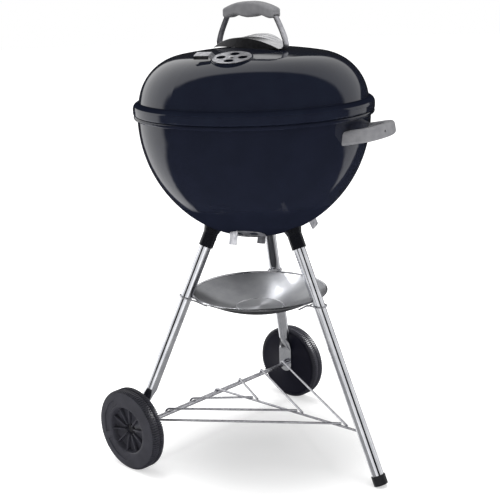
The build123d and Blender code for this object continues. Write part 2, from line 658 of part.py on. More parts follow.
def bowl_handle():
    """Moulded side handle with a finger opening, seated on the bowl wall."""
    tilt = math.radians(HANDLE_TILT)
    out = outward(HANDLE_AZIMUTH)
    rise = out * math.cos(tilt) + Vector(0, 0, math.sin(tilt))
    along = sideways(HANDLE_AZIMUTH) * -1
    origin = out * bowl_radius(HANDLE_HEIGHT, 0) + Vector(0, 0, HANDLE_HEIGHT)
    frame = Plane(origin=origin, x_dir=along, z_dir=along.cross(rise))
    body = extrude(handle_outline(HANDLE_HALF_LENGTH, HANDLE_DEPTH, HANDLE_SHOULDER), HANDLE_THICK / 2, both=True)
    gap = handle_outline(HANDLE_HALF_LENGTH - HANDLE_BAR * 1.2, HANDLE_DEPTH - HANDLE_BAR, HANDLE_SHOULDER * 0.7)
    body -= extrude(gap, HANDLE_THICK, both=True)
    rims = body.edges().filter_by(lambda edge: abs(abs(edge.center().Z) - HANDLE_THICK / 2) < SEAT_FIT)
    body = fillet(rims, HANDLE_ROUND)
    body -= Pos(HANDLE_HOLE_OFFSET, HANDLE_DEPTH, 0) * Rot(90, 0, 0) * Cylinder(HANDLE_HOLE_RADIUS, HANDLE_BAR)
    handle = frame * body - bowl_volume(-SEAT_FIT)
    for place in handle_bolt_places():
        handle -= place * Cylinder(HANDLE_BOLT_RADIUS + SEAT_FIT, 2 * HANDLE_BOLT_LENGTH)
    return handle


def handle_bolts():
    """Dome-headed bolts through the bowl wall into the side handle."""
    bolts = []
    for place in handle_bolt_places():
        seat = -BOWL_WALL - HOLE_FIT
        head = Pos(0, 0, seat) * Rot(180, 0, 0) * dome(HANDLE_BOLT_HEAD, HANDLE_BOLT_RADIUS)
        shank = extrude(Plane.XY.offset(seat) * Circle(HANDLE_BOLT_RADIUS), HANDLE_BOLT_LENGTH)
        bolts.append(place * (head + shank))
    return Compound(bolts)


def bowl_damper(azimuth, turned):
    """Aluminium damper that follows the bowl floor and turns about its rivet."""
    inner = BOWL_FLOOR_ARC + DAMPER_GAP
    outer = inner + DAMPER_SHEET
    frame = floor_frame(azimuth, 0)
    ball = Pos(0, 0, -BOWL_FLOOR_ARC)
    plate = ball * Sphere(outer) & Cylinder(BOWL_DAMPER_RADIUS, BOWL_DAMPER_RADIUS)
    plate -= list(vent_drills(VENT_HOLE_RADIUS))
    plate -= Cylinder(RIVET_RADIUS + RIVET_FIT, BOWL_DAMPER_RADIUS)
    sag = inner - math.sqrt(inner**2 - BOWL_DAMPER_RADIUS**2)
    for sign, drop in ((-1, EAR_LONG_DROP), (1, EAR_SHORT_DROP)):
        face = Rectangle(EAR_WIDTH, drop + sag + DAMPER_SHEET)
        face = fillet(face.vertices().group_by(Axis.Y)[-1], EAR_ROUND)
        ear = extrude(face, DAMPER_SHEET)
        seat = (drop + sag + DAMPER_SHEET) / 2 + DAMPER_GAP - sag
        start = BOWL_DAMPER_RADIUS - 2 * DAMPER_SHEET
        upright = Plane(origin=(start, 0, seat), x_dir=(0, 1, 0), z_dir=(1, 0, 0))
        plate += Rot(0, 0, 90 - 90 * sign) * (upright * ear)
    return frame * Rot(0, 0, turned - 90) * (plate - ball * Sphere(inner))


def bowl_damper_rivets():
    """Rivets that carry the three bowl dampers."""
    stack = DAMPER_GAP + DAMPER_SHEET + HOLE_FIT
    rivets = []
    for azimuth in BOWL_DAMPER_AZIMUTH.values():
        tail = BOWL_WALL + HOLE_FIT
        shank = Pos(0, 0, (stack - tail) / 2) * Cylinder(RIVET_RADIUS, stack + tail)
        rivet = shank + Pos(0, 0, stack) * dome(RIVET_HEAD, RIVET_DOME)
        rivet += Pos(0, 0, -tail) * Rot(180, 0, 0) * dome(RIVET_HEAD, RIVET_DOME)
        rivets.append(floor_frame(azimuth, 0) * rivet)
    return Compound(rivets)


def lid_volume(inset):
    """Space under the lid's dome, or round it for a negative inset."""
    crown = arc(CROWN_CENTRE, LID_CROWN_ARC - inset, 90, CROWN_ANGLE)
    shoulder = arc(SHOULDER_CENTRE, LID_SHOULDER_ARC - inset, CROWN_ANGLE, 0)
    floor = Line(shoulder @ 1, (0, SHOULDER_CENTRE[1]))
    return spun([crown, shoulder, floor, Line((0, SHOULDER_CENTRE[1]), crown @ 0)])


def lid_height(radius):
    """Height of the lid's crown at a radius."""
    return CROWN_CENTRE[1] + math.sqrt(LID_CROWN_ARC**2 - radius**2)


def seat_frame():
    """Plane of the flat seat under the lid damper, tangent to the lid's shoulder."""
    tilt = math.radians(LID_VENT_TILT)
    out = outward(LID_VENT_AZIMUTH)
    normal = out * math.sin(tilt) + Vector(0, 0, math.cos(tilt))
    touch = out * SHOULDER_CENTRE[0] + Vector(0, 0, SHOULDER_CENTRE[1]) + normal * LID_SHOULDER_ARC
    uphill = out * -math.cos(tilt) + Vector(0, 0, math.sin(tilt))
    back = (touch.dot(out) - LID_VENT_RADIUS) / math.cos(tilt)
    origin = touch + uphill * back + normal * LID_SEAT_RISE
    return Plane(origin=origin, x_dir=sideways(LID_VENT_AZIMUTH) * -1, z_dir=normal)


def lid_bolt_frame(sign):
    """Plane on the lid's crown under one end of the lid handle."""
    tilt = math.asin(BOLT_PLACE / LID_CROWN_ARC)
    normal = Vector(0, sign * math.sin(tilt), math.cos(tilt))
    return Plane(origin=(0, sign * BOLT_PLACE, lid_height(BOLT_PLACE)), x_dir=(1, 0, 0), z_dir=normal)


def lid_section():
    """Closed edges of the lid wall: crown, shoulder, flared skirt and rolled hem."""
    crease = math.degrees(math.asin((LID_CREASE - LID_SPRING_LINE) / LID_SHOULDER_ARC))
    crease_point = polar(SHOULDER_CENTRE, LID_SHOULDER_ARC, crease)
    flare = LID_FLANGE_RADIUS - crease_point[0]
    flare_centre = (crease_point[0], crease_point[1] - flare)
    bead = (BOWL_RADIUS - BOWL_WALL + BOWL_BEAD, RIM_HEIGHT - BOWL_BEAD)
    hem_radius = LID_FLANGE_RADIUS - LID_HEM
    stack = LID_HEM + BOWL_BEAD + LID_SEAT_GAP
    hem = (hem_radius, bead[1] + math.sqrt(stack**2 - (hem_radius - bead[0]) ** 2))
    inner_skirt = LID_FLANGE_RADIUS - LID_WALL
    tuck = math.degrees(math.acos((inner_skirt - hem[0]) / LID_HEM))
    inner_drop = LID_CREASE - LID_SPRING_LINE - LID_WALL
    inner_crease = math.degrees(math.asin(inner_drop / (LID_SHOULDER_ARC - LID_WALL)))
    crown = arc(CROWN_CENTRE, LID_CROWN_ARC, 90, CROWN_ANGLE)
    shoulder = arc(SHOULDER_CENTRE, LID_SHOULDER_ARC, CROWN_ANGLE, crease)
    skirt = arc(flare_centre, flare, 90, 0)
    roll = [arc(hem, LID_HEM, 0, -180), arc(hem, LID_HEM, -180, tuck - 360)]
    inner_flare = arc(flare_centre, flare - LID_WALL, 0, 90)
    inner_shoulder = arc(SHOULDER_CENTRE, LID_SHOULDER_ARC - LID_WALL, inner_crease, CROWN_ANGLE)
    inner_crown = arc(CROWN_CENTRE, LID_CROWN_ARC - LID_WALL, CROWN_ANGLE, 90)
    joins = [
        Line(skirt @ 1, roll[0] @ 0),
        Line(roll[1] @ 1, inner_flare @ 0),
        Line(inner_flare @ 1, inner_shoulder @ 0),
        Line(inner_crown @ 1, crown @ 0),
    ]
    return [crown, shoulder, skirt, *roll, inner_flare, inner_shoulder, inner_crown, *joins]


def lid_shell():
    """Enamelled lid with a flared skirt, a flat damper seat and its vents."""
    shell = spun(lid_section())
    seat = seat_frame()
    pad = extrude(seat * Circle(LID_SEAT_RADIUS), -LID_SEAT_SINK) - lid_volume(LID_WALL)
    shell += pad
    shell -= [seat * drill for drill in vent_drills(LID_SEAT_SINK + VENT_HOLE_RADIUS)]
    shell -= seat * Cylinder(RIVET_RADIUS + SEAT_FIT, 4 * LID_SEAT_SINK)
    for sign in (-1, 1):
        shell -= lid_bolt_frame(sign) * Cylinder(BOLT_RADIUS + HOLE_FIT, 4 * BOLT_TAIL)
    return shell


def lid_damper():
    """Aluminium lid damper with a raised thumb tab."""
    lift = Pos(0, 0, DAMPER_GAP)
    disc = extrude(Circle(LID_DAMPER_RADIUS), DAMPER_SHEET)
    bottom = Polyline((TAB_START, 0), (TAB_STEP - TAB_RISE, 0), (TAB_STEP, TAB_RISE), (TAB_REACH, TAB_RISE))
    top = [(point.X, point.Y + DAMPER_SHEET) for point in reversed(bottom.vertices())]
    strip = Polyline(*[(point.X, point.Y) for point in bottom.vertices()], *top, close=True)
    tab = extrude(Plane.XZ * make_face(strip), TAB_WIDTH / 2, both=True)
    lip_size = (TAB_REACH - TAB_STEP, DAMPER_SHEET, TAB_LIP)
    lip = Pos((TAB_REACH + TAB_STEP) / 2, (TAB_WIDTH - DAMPER_SHEET) / 2, TAB_RISE - TAB_LIP / 2)
    plate = disc + tab + lip * Box(*lip_size)
    plate -= list(vent_drills(VENT_HOLE_RADIUS))
    plate -= Cylinder(RIVET_RADIUS + RIVET_FIT, LID_DAMPER_RADIUS)
    return seat_frame() * lift * plate


def lid_damper_rivet():
    """Rivet that carries the lid damper."""
    stack = DAMPER_GAP + DAMPER_SHEET + HOLE_FIT
    tail = LID_SEAT_SINK
    shank = Pos(0, 0, (stack - tail) / 2) * Cylinder(RIVET_RADIUS, stack + tail)
    rivet = shank + Pos(0, 0, stack) * dome(RIVET_HEAD, RIVET_DOME)
    rivet += Pos(0, 0, -tail) * Rot(180, 0, 0) * dome(RIVET_HEAD, RIVET_DOME)
    return seat_frame() * rivet


def foot_line(y, lift):
    """Height of a line that lies on the lid's crown under the handle, raised by a lift."""
    tilt = math.asin(BOLT_PLACE / LID_CROWN_ARC)
    return lid_height(BOLT_PLACE) - math.tan(tilt) * (y - BOLT_PLACE) + lift / math.cos(tilt)


def mirrored_run(points):
    """Points of one half of a handle profile, then their mirror images."""
    return points + [(-y, z) for y, z in reversed(points)]


def strap_sweep(extra):
    """Bent handle strap, enlarged all round by a clearance."""
    lift = SEAT_FIT + STRAP_THICK / 2
    half = [
        (STRAP_FOOT_INNER, foot_line(STRAP_FOOT_INNER, lift)),
        (STRAP_FOOT_OUTER, foot_line(STRAP_FOOT_OUTER, lift)),
        (STRAP_BOW, LID_TOP + STRAP_BOW_HEIGHT),
        (STRAP_TOP_REACH, LID_TOP + STRAP_TOP_HEIGHT),
    ]
    path = Plane.YZ * FilletPolyline(*mirrored_run(half), radius=STRAP_BEND)
    section = Plane(origin=path @ 0, x_dir=(1, 0, 0), z_dir=path % 0)
    return sweep(section * Rectangle(STRAP_WIDTH + 2 * extra, STRAP_THICK + 2 * extra), path=path)


def lid_strap():
    """Steel strap of the lid handle, drilled for its two bolts."""
    strap = strap_sweep(0)
    for sign in (-1, 1):
        strap -= lid_bolt_frame(sign) * Cylinder(BOLT_RADIUS + HOLE_FIT, 4 * BOLT_TAIL)
    return strap


def lid_grip():
    """Moulded grip with an arched top and a scalloped underside, slotted for the strap."""
    half = GRIP_LENGTH / 2
    end_top = LID_TOP + GRIP_END_TOP
    low = LID_TOP + GRIP_BOTTOM
    hump = half - GRIP_HUMP / 2
    waist = half - 1.5 * GRIP_HUMP
    end = (half, low + GRIP_SCALLOP / 4)
    run = [end, (hump, low), (waist, low + GRIP_SCALLOP)]
    under = Spline(*run, (0, low + GRIP_SCALLOP / 4), *[(-y, z) for y, z in reversed(run)])
    top = ThreePointArc((-half, end_top), (0, LID_TOP + GRIP_TOP), (half, end_top))
    outline = make_face([under, top, Line(top @ 1, under @ 0), Line(under @ 1, top @ 0)])
    body = extrude(Plane.YZ * outline, GRIP_WIDTH / 2, both=True)
    corners = body.edges().filter_by(Axis.X).filter_by(lambda edge: abs(edge.center().Y) > half - SEAT_FIT)
    body = fillet(corners, GRIP_ROUND)
    rims = body.edges().filter_by(lambda edge: abs(abs(edge.center().X) - GRIP_WIDTH / 2) < SEAT_FIT)
    body = fillet(rims, GRIP_ROUND)
    return body - strap_sweep(STRAP_FIT)


def shield_leaf(inset):
    """Plan outline of the heat shield, drawn in from its edge by an inset."""
    tab = SHIELD_TAB - inset
    end = SHIELD_END - inset
    front = ThreePointArc((tab, -end), (SHIELD_FRONT - inset, 0), (tab, end))
    tip = ThreePointArc((tab, end), (0, end + SHIELD_TAB / 2), (-tab, end))
    rear = ThreePointArc((-tab, end), (inset - SHIELD_REAR, 0), (-tab, -end))
    tail = ThreePointArc((-tab, -end), (0, -end - SHIELD_TAB / 2), (tab, -end))
    return extrude(make_face([front, tip, rear, tail]), 2 * LID_TOP)


def shield_run(lift):
    """Arched side profile of the heat shield, raised by a lift."""
    base = SEAT_FIT + STRAP_THICK + SEAT_FIT + lift
    half = [
        (SHIELD_END + SHIELD_TAB, foot_line(SHIELD_END + SHIELD_TAB, base)),
        (SHIELD_KNEE, foot_line(SHIELD_KNEE, base)),
        (SHIELD_CROWN, foot_line(SHIELD_CROWN, base) + SHIELD_RISE),
    ]
    return FilletPolyline(*mirrored_run(half), radius=SHIELD_BEND)


def shield_band(low, high):
    """Side-profile face of the heat shield between two lifts."""
    bottom = shield_run(low)
    top = shield_run(high)
    return make_face(bottom.edges() + top.edges() + [Line(bottom @ 0, top @ 0), Line(bottom @ 1, top @ 1)])


def lid_heat_shield():
    """Folded heat shield between the handle feet, with a turned-down front lip."""
    sheet = shield_band(0, SHIELD_SHEET)
    apron = shield_band(-SHIELD_LIP, SHIELD_SHEET)
    front_plane = Plane.YZ.offset(SHIELD_TAB)
    rear_plane = Plane.YZ.offset(-SHIELD_TAB)
    middle = extrude(Plane.YZ * sheet, SHIELD_TAB, both=True)
    front = extrude(front_plane * sheet, SHIELD_FRONT, dir=(1, 0, -SHIELD_FRONT_DROP))
    rear = extrude(rear_plane * sheet, SHIELD_REAR, dir=(-1, 0, SHIELD_REAR_LIFT))
    leaf = shield_leaf(0)
    edge = leaf - shield_leaf(SHIELD_SHEET)
    lip = extrude(front_plane * apron, SHIELD_FRONT, dir=(1, 0, -SHIELD_FRONT_DROP)) & edge
    shield = (middle + front + rear) & leaf
    shield += lip - lid_volume(-SHIELD_CLEARANCE)
    for sign in (-1, 1):
        shield -= lid_bolt_frame(sign) * Cylinder(BOLT_RADIUS + HOLE_FIT, 4 * BOLT_TAIL)
    return shield


def lid_bolts():
    """Dome bolts through the shield, strap and lid."""
    seat = 2 * SEAT_FIT + STRAP_THICK + SHIELD_SHEET + HOLE_FIT
    bolts = []
    for sign in (-1, 1):
        shank = Pos(0, 0, (seat - BOLT_TAIL) / 2) * Cylinder(BOLT_RADIUS, seat + BOLT_TAIL)
        bolts.append(lid_bolt_frame(sign) * (shank + Pos(0, 0, seat) * dome(BOLT_HEAD, BOLT_DOME)))
    return Compound(bolts)


def lid_nuts():
    """Hexagon nuts inside the lid."""
    nuts = []
    for sign in (-1, 1):
        hexagon = RegularPolygon(NUT_RADIUS, 6) - Circle(BOLT_RADIUS + SEAT_FIT)
        seat = Plane.XY.offset(-LID_WALL - HOLE_FIT)
        nuts.append(lid_bolt_frame(sign) * extrude(seat * hexagon, -NUT_HEIGHT))
    return Compound(nuts)


def parallel_rods(reach, pitch, radius, height, shortest):
    """Round bars along Y that fill a circle, none with a half-length under the shortest."""
    count = int(math.sqrt(reach**2 - shortest**2) // pitch)
    rods = []
    for index in range(-count, count + 1):
        x = index * pitch
        length = 2 * math.sqrt(reach**2 - x**2)
        rods.append(Pos(x, 0, height) * Rot(90, 0, 0) * Cylinder(radius, length))
    return rods


def cooking_grate():
    """Plated cooking grate: a ring with bars welded across it."""
    bar_height = GRATE_RING_HEIGHT + GRATE_WIRE + GRATE_ROD - GRATE_WELD
    ring = Pos(0, 0, GRATE_RING_HEIGHT) * Torus(GRATE_RING_RADIUS, GRATE_WIRE)
    shortest = GRATE_HANDLE_SPAN / 2
    return ring + parallel_rods(GRATE_RING_RADIUS, GRATE_ROD_PITCH, GRATE_ROD, bar_height, shortest)


def grate_handles():
    """Two wire handles that stand on the cooking grate's ring."""
    half = GRATE_HANDLE_SPAN / 2
    foot = math.sqrt(GRATE_RING_RADIUS**2 - half**2)
    low = GRATE_RING_HEIGHT + GRATE_WIRE + SEAT_FIT
    points = [(half, low), (half, low + GRATE_HANDLE_RISE), (-half, low + GRATE_HANDLE_RISE), (-half, low)]
    outline = FilletPolyline(*points, radius=GRATE_HANDLE_BEND)
    return Compound([rod_along(Plane.YZ.offset(x) * outline, GRATE_WIRE) for x in (-foot, foot)])


def charcoal_grate():
    """Heavy bars on two cross bars that carry the charcoal."""
    cross_height = COAL_LEDGE_HEIGHT + COAL_ROD + CLIP_FIT
    bar_height = cross_height + 2 * COAL_ROD - GRATE_WELD
    shortest = COAL_CROSS + COAL_ROD
    grate = Part() + parallel_rods(COAL_RADIUS, COAL_ROD_PITCH, COAL_ROD, bar_height, shortest)
    length = 2 * math.sqrt(COAL_RADIUS**2 - COAL_CROSS**2)
    for sign in (-1, 1):
        grate += Pos(0, sign * COAL_CROSS, cross_height) * Rot(0, 90, 0) * Cylinder(COAL_ROD, length)
    return grate


def grate_brackets(height, inner, azimuth):
    """Four bent ledges welded inside the bowl to carry a grate, two on each side."""
    back = bowl_radius(height - BRACKET_LEG, BOWL_WALL) - BRACKET_BACK
    reach = BOWL_RADIUS
    room = bowl_volume(BOWL_WALL + SEAT_FIT)
    outline = Polyline(
        (inner, height), (reach, height), (reach, height - BRACKET_LEG), (back, height - BRACKET_LEG),
        (back, height - BRACKET_SHEET), (inner, height - BRACKET_SHEET), close=True,
    )
    ledge = extrude(Plane.XZ * make_face(outline), BRACKET_WIDTH / 2, both=True) & room
    turns = (azimuth, 180 - azimuth, 180 + azimuth, -azimuth)
    return Compound([Rot(0, 0, turn) * ledge for turn in turns])


def build():
    """All pieces by node name."""
    right_leg = wheel_leg()
    right_cap = axle_cap()
    right_wheel = wheel()
    nodes = {
        "bowl_shell": bowl_shell(),
        "leg_front": front_leg(),
        "leg_right": right_leg,
        "leg_left": mirror(right_leg, Plane.YZ),
        "leg_snap_buttons": snap_buttons(),
        "foot_cap": foot_cap(),
        "axle": axle(),
        "axle_cap_right": right_cap,
        "axle_cap_left": mirror(right_cap, Plane.YZ),
        "wheel_right": right_wheel,
        "wheel_left": mirror(right_wheel, Plane.YZ),
        "rack_rod_center": rack_rod(0, rack_tip()),
        "ash_pan": ash_pan(),
        "bowl_handle": bowl_handle(),
        "bowl_handle_bolts": handle_bolts(),
        "bowl_damper_rivets": bowl_damper_rivets(),
        "cooking_grate_brackets": grate_brackets(
            COOKING_LEDGE_HEIGHT, GRATE_RING_RADIUS - COOKING_LEDGE_REACH, COOKING_BRACKET_AZIMUTH
        ),
        "charcoal_grate_brackets": grate_brackets(
            COAL_LEDGE_HEIGHT, COAL_RADIUS - COAL_LEDGE_REACH, COAL_BRACKET_AZIMUTH
        ),
        "cooking_grate": cooking_grate(),
        "cooking_grate_handles": grate_handles(),
        "charcoal_grate": charcoal_grate(),
        "lid_shell": lid_shell(),
        "lid_damper": lid_damper(),
        "lid_damper_rivet": lid_damper_rivet(),
        "lid_handle_strap": lid_strap(),
        "lid_handle_grip": lid_grip(),
        "lid_heat_shield": lid_heat_shield(),
        "lid_handle_bolts": lid_bolts(),
        "lid_handle_nuts": lid_nuts(),
    }
    nodes.update(rack_side_rods())
    for name, azimuth in LEG_AZIMUTH.items():
        nodes[f"leg_socket_{name}"] = leg_socket(azimuth)
        nodes[f"pan_clip_{name}"] = pan_clip(azimuth, CLIP_RISE[name])
    for name, azimuth in BOWL_DAMPER_AZIMUTH.items():
        nodes[f"bowl_damper_{name}"] = bowl_damper(azimuth, BOWL_DAMPER_TURN[name])
    return nodes


os.makedirs("parts", exist_ok=True)
for node, shape in build().items():
    export_step(Pos(0, KETTLE_Y, 0) * shape, f"parts/{node}.step")
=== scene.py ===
import logging
import math
from dataclasses import dataclass, field, replace
from enum import Enum
from typing import Any, ClassVar

import bmesh
import bpy
from bmesh.types import BMEdge, BMesh, BMFace, BMVert
from bpy.types import Material, Node, NodeSocket, NodeTree
from mathutils import Matrix, Vector, geometry


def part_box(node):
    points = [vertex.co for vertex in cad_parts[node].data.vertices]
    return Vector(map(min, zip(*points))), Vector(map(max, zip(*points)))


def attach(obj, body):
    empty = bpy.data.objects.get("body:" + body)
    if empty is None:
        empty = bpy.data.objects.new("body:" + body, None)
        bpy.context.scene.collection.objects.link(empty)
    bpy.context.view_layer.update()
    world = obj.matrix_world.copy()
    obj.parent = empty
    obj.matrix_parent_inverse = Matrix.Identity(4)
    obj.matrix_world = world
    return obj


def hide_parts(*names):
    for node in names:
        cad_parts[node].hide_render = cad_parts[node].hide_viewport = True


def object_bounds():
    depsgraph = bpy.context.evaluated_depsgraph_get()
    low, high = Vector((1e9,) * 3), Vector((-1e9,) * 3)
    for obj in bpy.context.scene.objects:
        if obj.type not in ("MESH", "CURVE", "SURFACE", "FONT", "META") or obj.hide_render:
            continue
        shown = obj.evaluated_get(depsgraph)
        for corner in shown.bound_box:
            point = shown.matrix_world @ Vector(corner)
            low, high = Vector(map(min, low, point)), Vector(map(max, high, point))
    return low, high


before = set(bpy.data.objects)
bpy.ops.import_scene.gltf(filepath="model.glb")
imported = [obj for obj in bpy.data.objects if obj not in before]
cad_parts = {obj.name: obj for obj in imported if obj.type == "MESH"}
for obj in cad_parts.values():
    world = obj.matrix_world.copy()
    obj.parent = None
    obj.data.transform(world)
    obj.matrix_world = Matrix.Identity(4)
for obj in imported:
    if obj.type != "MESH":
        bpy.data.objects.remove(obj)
CAD_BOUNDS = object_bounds()

LOG = logging.getLogger("kettle_grill")
MM = 0.001
ORIGIN = Vector((0.0, 0.0, 0.0)).freeze()
UP = Vector((0.0, 0.0, 1.0)).freeze()
ALONG_HANDLE = Vector((0.0, 1.0, 0.0)).freeze()
# Factors that keep the level part of a vector.
LEVEL_PART = (1.0, 1.0, 0.0)
# Gaps below which vertices are merged, in a shape made here and in the copy of a CAD node.
WELD = 0.01 * MM
CAD_WELD = 0.001 * MM
# Material slot of a piece's second finish.
SECOND_FINISH = 1

LEG_NAMES = ("front", "left", "right")
SIDE_SIGN = {"right": 1.0, "left": -1.0}
DAMPER_PLACES = ("right", "left", "rear")
PAN_CLIPS = tuple(f"pan_clip_{name}" for name in LEG_NAMES)
RACK_RODS = tuple(f"rack_rod_{side}_{place}" for side in SIDE_SIGN for place in ("inner", "middle", "outer"))
GRATES = ("cooking_grate", "cooking_grate_handles", "charcoal_grate")
HANDLES = ("lid_handle_grip", "bowl_handle")


def linear(hex_colour: str) -> tuple[float, float, float, float]:
    """Turns an sRGB hex colour into linear light.

    Args:
        hex_colour: Colour such as "#7d7d80".

    Returns:
        Red, green, blue and an alpha of one.
    """
    shares = [int(hex_colour[start:start + 2], 16) / 255 for start in (1, 3, 5)]
    red, green, blue = (c / 12.92 if c <= 0.04045 else ((c + 0.055) / 1.055) ** 2.4 for c in shares)
    return red, green, blue, 1.0


def per_metre(size_mm: float) -> float:
    """Pattern scale for features of a real size, as repeats in a metre."""
    return 1.0 / (size_mm * MM)


def add_node(tree: NodeTree, kind: str, inputs: dict[str | int, Any] | None = None, **settings: Any) -> Node:
    """Adds a shader node with its settings, values and links.

    Args:
        tree: Node tree that gets the node.
        kind: Blender's name for the type of node.
        inputs: Socket name or index to a value, or to the output socket that feeds it.
        settings: Attributes of the node.

    Returns:
        The new node.
    """
    node = tree.nodes.new(kind)
    for name, value in settings.items():
        setattr(node, name, value)
    for socket, value in (inputs or {}).items():
        if isinstance(value, NodeSocket):
            tree.links.new(value, node.inputs[socket])
        else:
            node.inputs[socket].default_value = value
    return node


class Grain(Enum):
    """How the marks of making run over a surface."""

    EVEN = "alike in every direction"
    DRAWN = "long lines along one direction"
    SPUN = "rings about one axis"


@dataclass(frozen=True)
class Finish:
    """A surface as it was made: its colours, gloss and the size of its marks.

    The second colour mottles the first over patches of mottle_mm. Roughness runs between its two
    values with the marks of grain_mm, whose relief is depth_mm. A band of heights, dull_mm, has
    lost its shine.
    """

    # Parts of the noise that the mottle and the marks use, with their octaves.
    MOTTLE_SPAN: ClassVar[tuple[float, float]] = (0.35, 0.65)
    MOTTLE_DETAIL: ClassVar[float] = 4.0
    MARK_SPAN: ClassVar[tuple[float, float]] = (0.3, 0.7)
    MARK_DETAIL: ClassVar[float] = 3.0
    # Share of the dull band that has no shine at all, between its soft edges.
    DULL_CORE: ClassVar[float] = 0.7

    name: str
    colour: str
    mottle: str
    mottle_mm: float
    roughness: tuple[float, float]
    grain_mm: float
    depth_mm: float
    metallic: float = 0.0
    ior: float = 1.5
    grain: Grain = Grain.EVEN
    stretch: float = 60.0
    specular: float = 0.5
    anisotropy: float = 0.0
    dull_mm: tuple[float, float] = (0.0, 0.0)

    def dull_band(self, tree: NodeTree) -> NodeSocket:
        """Adds the nodes that take the shine off a band of heights.

        Args:
            tree: Material's node tree.

        Returns:
            Output with the specular level.
        """
        low, high = (height * MM for height in self.dull_mm)
        half = (high - low) / 2
        place = add_node(tree, "ShaderNodeTexCoord").outputs["Object"]
        height = add_node(tree, "ShaderNodeSeparateXYZ", {0: place}).outputs["Z"]
        offset = add_node(tree, "ShaderNodeMath", {0: height, 1: (low + high) / 2}, operation="SUBTRACT")
        away = add_node(tree, "ShaderNodeMath", {0: offset.outputs[0]}, operation="ABSOLUTE")
        span = {"From Min": half * self.DULL_CORE, "From Max": half, "To Min": 0.0, "To Max": self.specular}
        shine = add_node(
            tree, "ShaderNodeMapRange", {"Value": away.outputs[0], **span}, interpolation_type="SMOOTHSTEP"
        )
        return shine.outputs["Result"]

    def coordinates(self, tree: NodeTree, centre: Vector, axis: Vector) -> NodeSocket:
        """Adds the nodes that lay the grain out over the piece.

        Args:
            tree: Material's node tree.
            centre: Point that the grain is centred on.
            axis: Direction of drawn lines, or the axis of spun rings.

        Returns:
            Vector output in metres.
        """
        place = add_node(tree, "ShaderNodeTexCoord").outputs["Object"]
        if self.grain is Grain.EVEN:
            return place
        turn = axis.to_track_quat("Z", "Y").to_euler()
        length = self.stretch if self.grain is Grain.DRAWN else 1.0
        layout = {"Vector": place, "Location": centre, "Rotation": turn, "Scale": (1.0, 1.0, length)}
        local = add_node(tree, "ShaderNodeMapping", layout, vector_type="TEXTURE").outputs[0]
        if self.grain is Grain.DRAWN:
            return local
        flat = add_node(tree, "ShaderNodeVectorMath", {0: local, 1: LEVEL_PART}, operation="MULTIPLY")
        spaces = {"vector_type": "VECTOR", "convert_from": "OBJECT", "convert_to": "WORLD"}
        radial = add_node(tree, "ShaderNodeVectorTransform", {"Vector": flat.outputs[0]}, **spaces)
        tree.links.new(radial.outputs[0], tree.nodes["Principled BSDF"].inputs["Tangent"])
        radius = add_node(tree, "ShaderNodeVectorMath", {0: flat.outputs[0]}, operation="LENGTH")
        ring = add_node(tree, "ShaderNodeCombineXYZ", {"X": radius.outputs["Value"]})
        slow = {0: local, "Scale": 1 / self.stretch}
        drift = add_node(tree, "ShaderNodeVectorMath", slow, operation="SCALE")
        return add_node(tree, "ShaderNodeVectorMath", {0: ring.outputs[0], 1: drift.outputs[0]}).outputs[0]

    def set_gloss(self, tree: NodeTree) -> None:
        """Sets the values that the shader's own sockets hold.

        Args:
            tree: Material's node tree.
        """
        shader = tree.nodes["Principled BSDF"]
        shader.inputs["Metallic"].default_value = self.metallic
        if not self.metallic:
            shader.inputs["IOR"].default_value = self.ior
        shader.inputs["Specular IOR Level"].default_value = self.specular
        shader.inputs["Anisotropic"].default_value = self.anisotropy
        if any(self.dull_mm):
            tree.links.new(self.dull_band(tree), shader.inputs["Specular IOR Level"])

    def add_mottle(self, tree: NodeTree) -> None:
        """Blends the two colours in patches.

        Args:
            tree: Material's node tree.
        """
        place = add_node(tree, "ShaderNodeTexCoord").outputs["Object"]
        noise = {"Vector": place, "Scale": per_metre(self.mottle_mm), "Detail": self.MOTTLE_DETAIL}
        patches = add_node(tree, "ShaderNodeTexNoise", noise).outputs["Fac"]
        start, end = self.MOTTLE_SPAN
        share = add_node(tree, "ShaderNodeMapRange", {"Value": patches, "From Min": start, "From Max": end})
        colours = {0: share.outputs["Result"], 6: linear(self.colour), 7: linear(self.mottle)}
        blend = add_node(tree, "ShaderNodeMix", colours, data_type="RGBA")
        tree.links.new(blend.outputs[2], tree.nodes["Principled BSDF"].inputs["Base Color"])

    def add_marks(self, tree: NodeTree, centre: Vector, axis: Vector) -> None:
        """Varies the roughness and the relief with the marks of making.

        Args:
            tree: Material's node tree.
            centre: Point that the grain is centred on.
            axis: Direction of drawn lines, or the axis of spun rings.
        """
        shader = tree.nodes["Principled BSDF"]
        place = self.coordinates(tree, centre, axis)
        noise = {"Vector": place, "Scale": per_metre(self.grain_mm), "Detail": self.MARK_DETAIL}
        marks = add_node(tree, "ShaderNodeTexNoise", noise).outputs["Fac"]
        start, end = self.MARK_SPAN
        low, high = self.roughness
        span = {"From Min": start, "From Max": end, "To Min": low, "To Max": high}
        gloss = add_node(tree, "ShaderNodeMapRange", {"Value": marks, **span})
        tree.links.new(gloss.outputs["Result"], shader.inputs["Roughness"])
        height = {"Height": marks, "Distance": self.depth_mm * MM, "Strength": 1.0}
        relief = add_node(tree, "ShaderNodeBump", height)
        tree.links.new(relief.outputs["Normal"], shader.inputs["Normal"])

    def material(self, centre: Vector = ORIGIN, axis: Vector = UP) -> Material:
        """Makes the finish as a node material.

        Args:
            centre: Point that the grain is centred on.
            axis: Direction of drawn lines, or the axis of spun rings.

        Returns:
            The new material.
        """
        material = bpy.data.materials.new(self.name)
        material.use_nodes = True
        self.set_gloss(material.node_tree)
        self.add_mottle(material.node_tree)
        self.add_marks(material.node_tree, centre, axis)
        return material


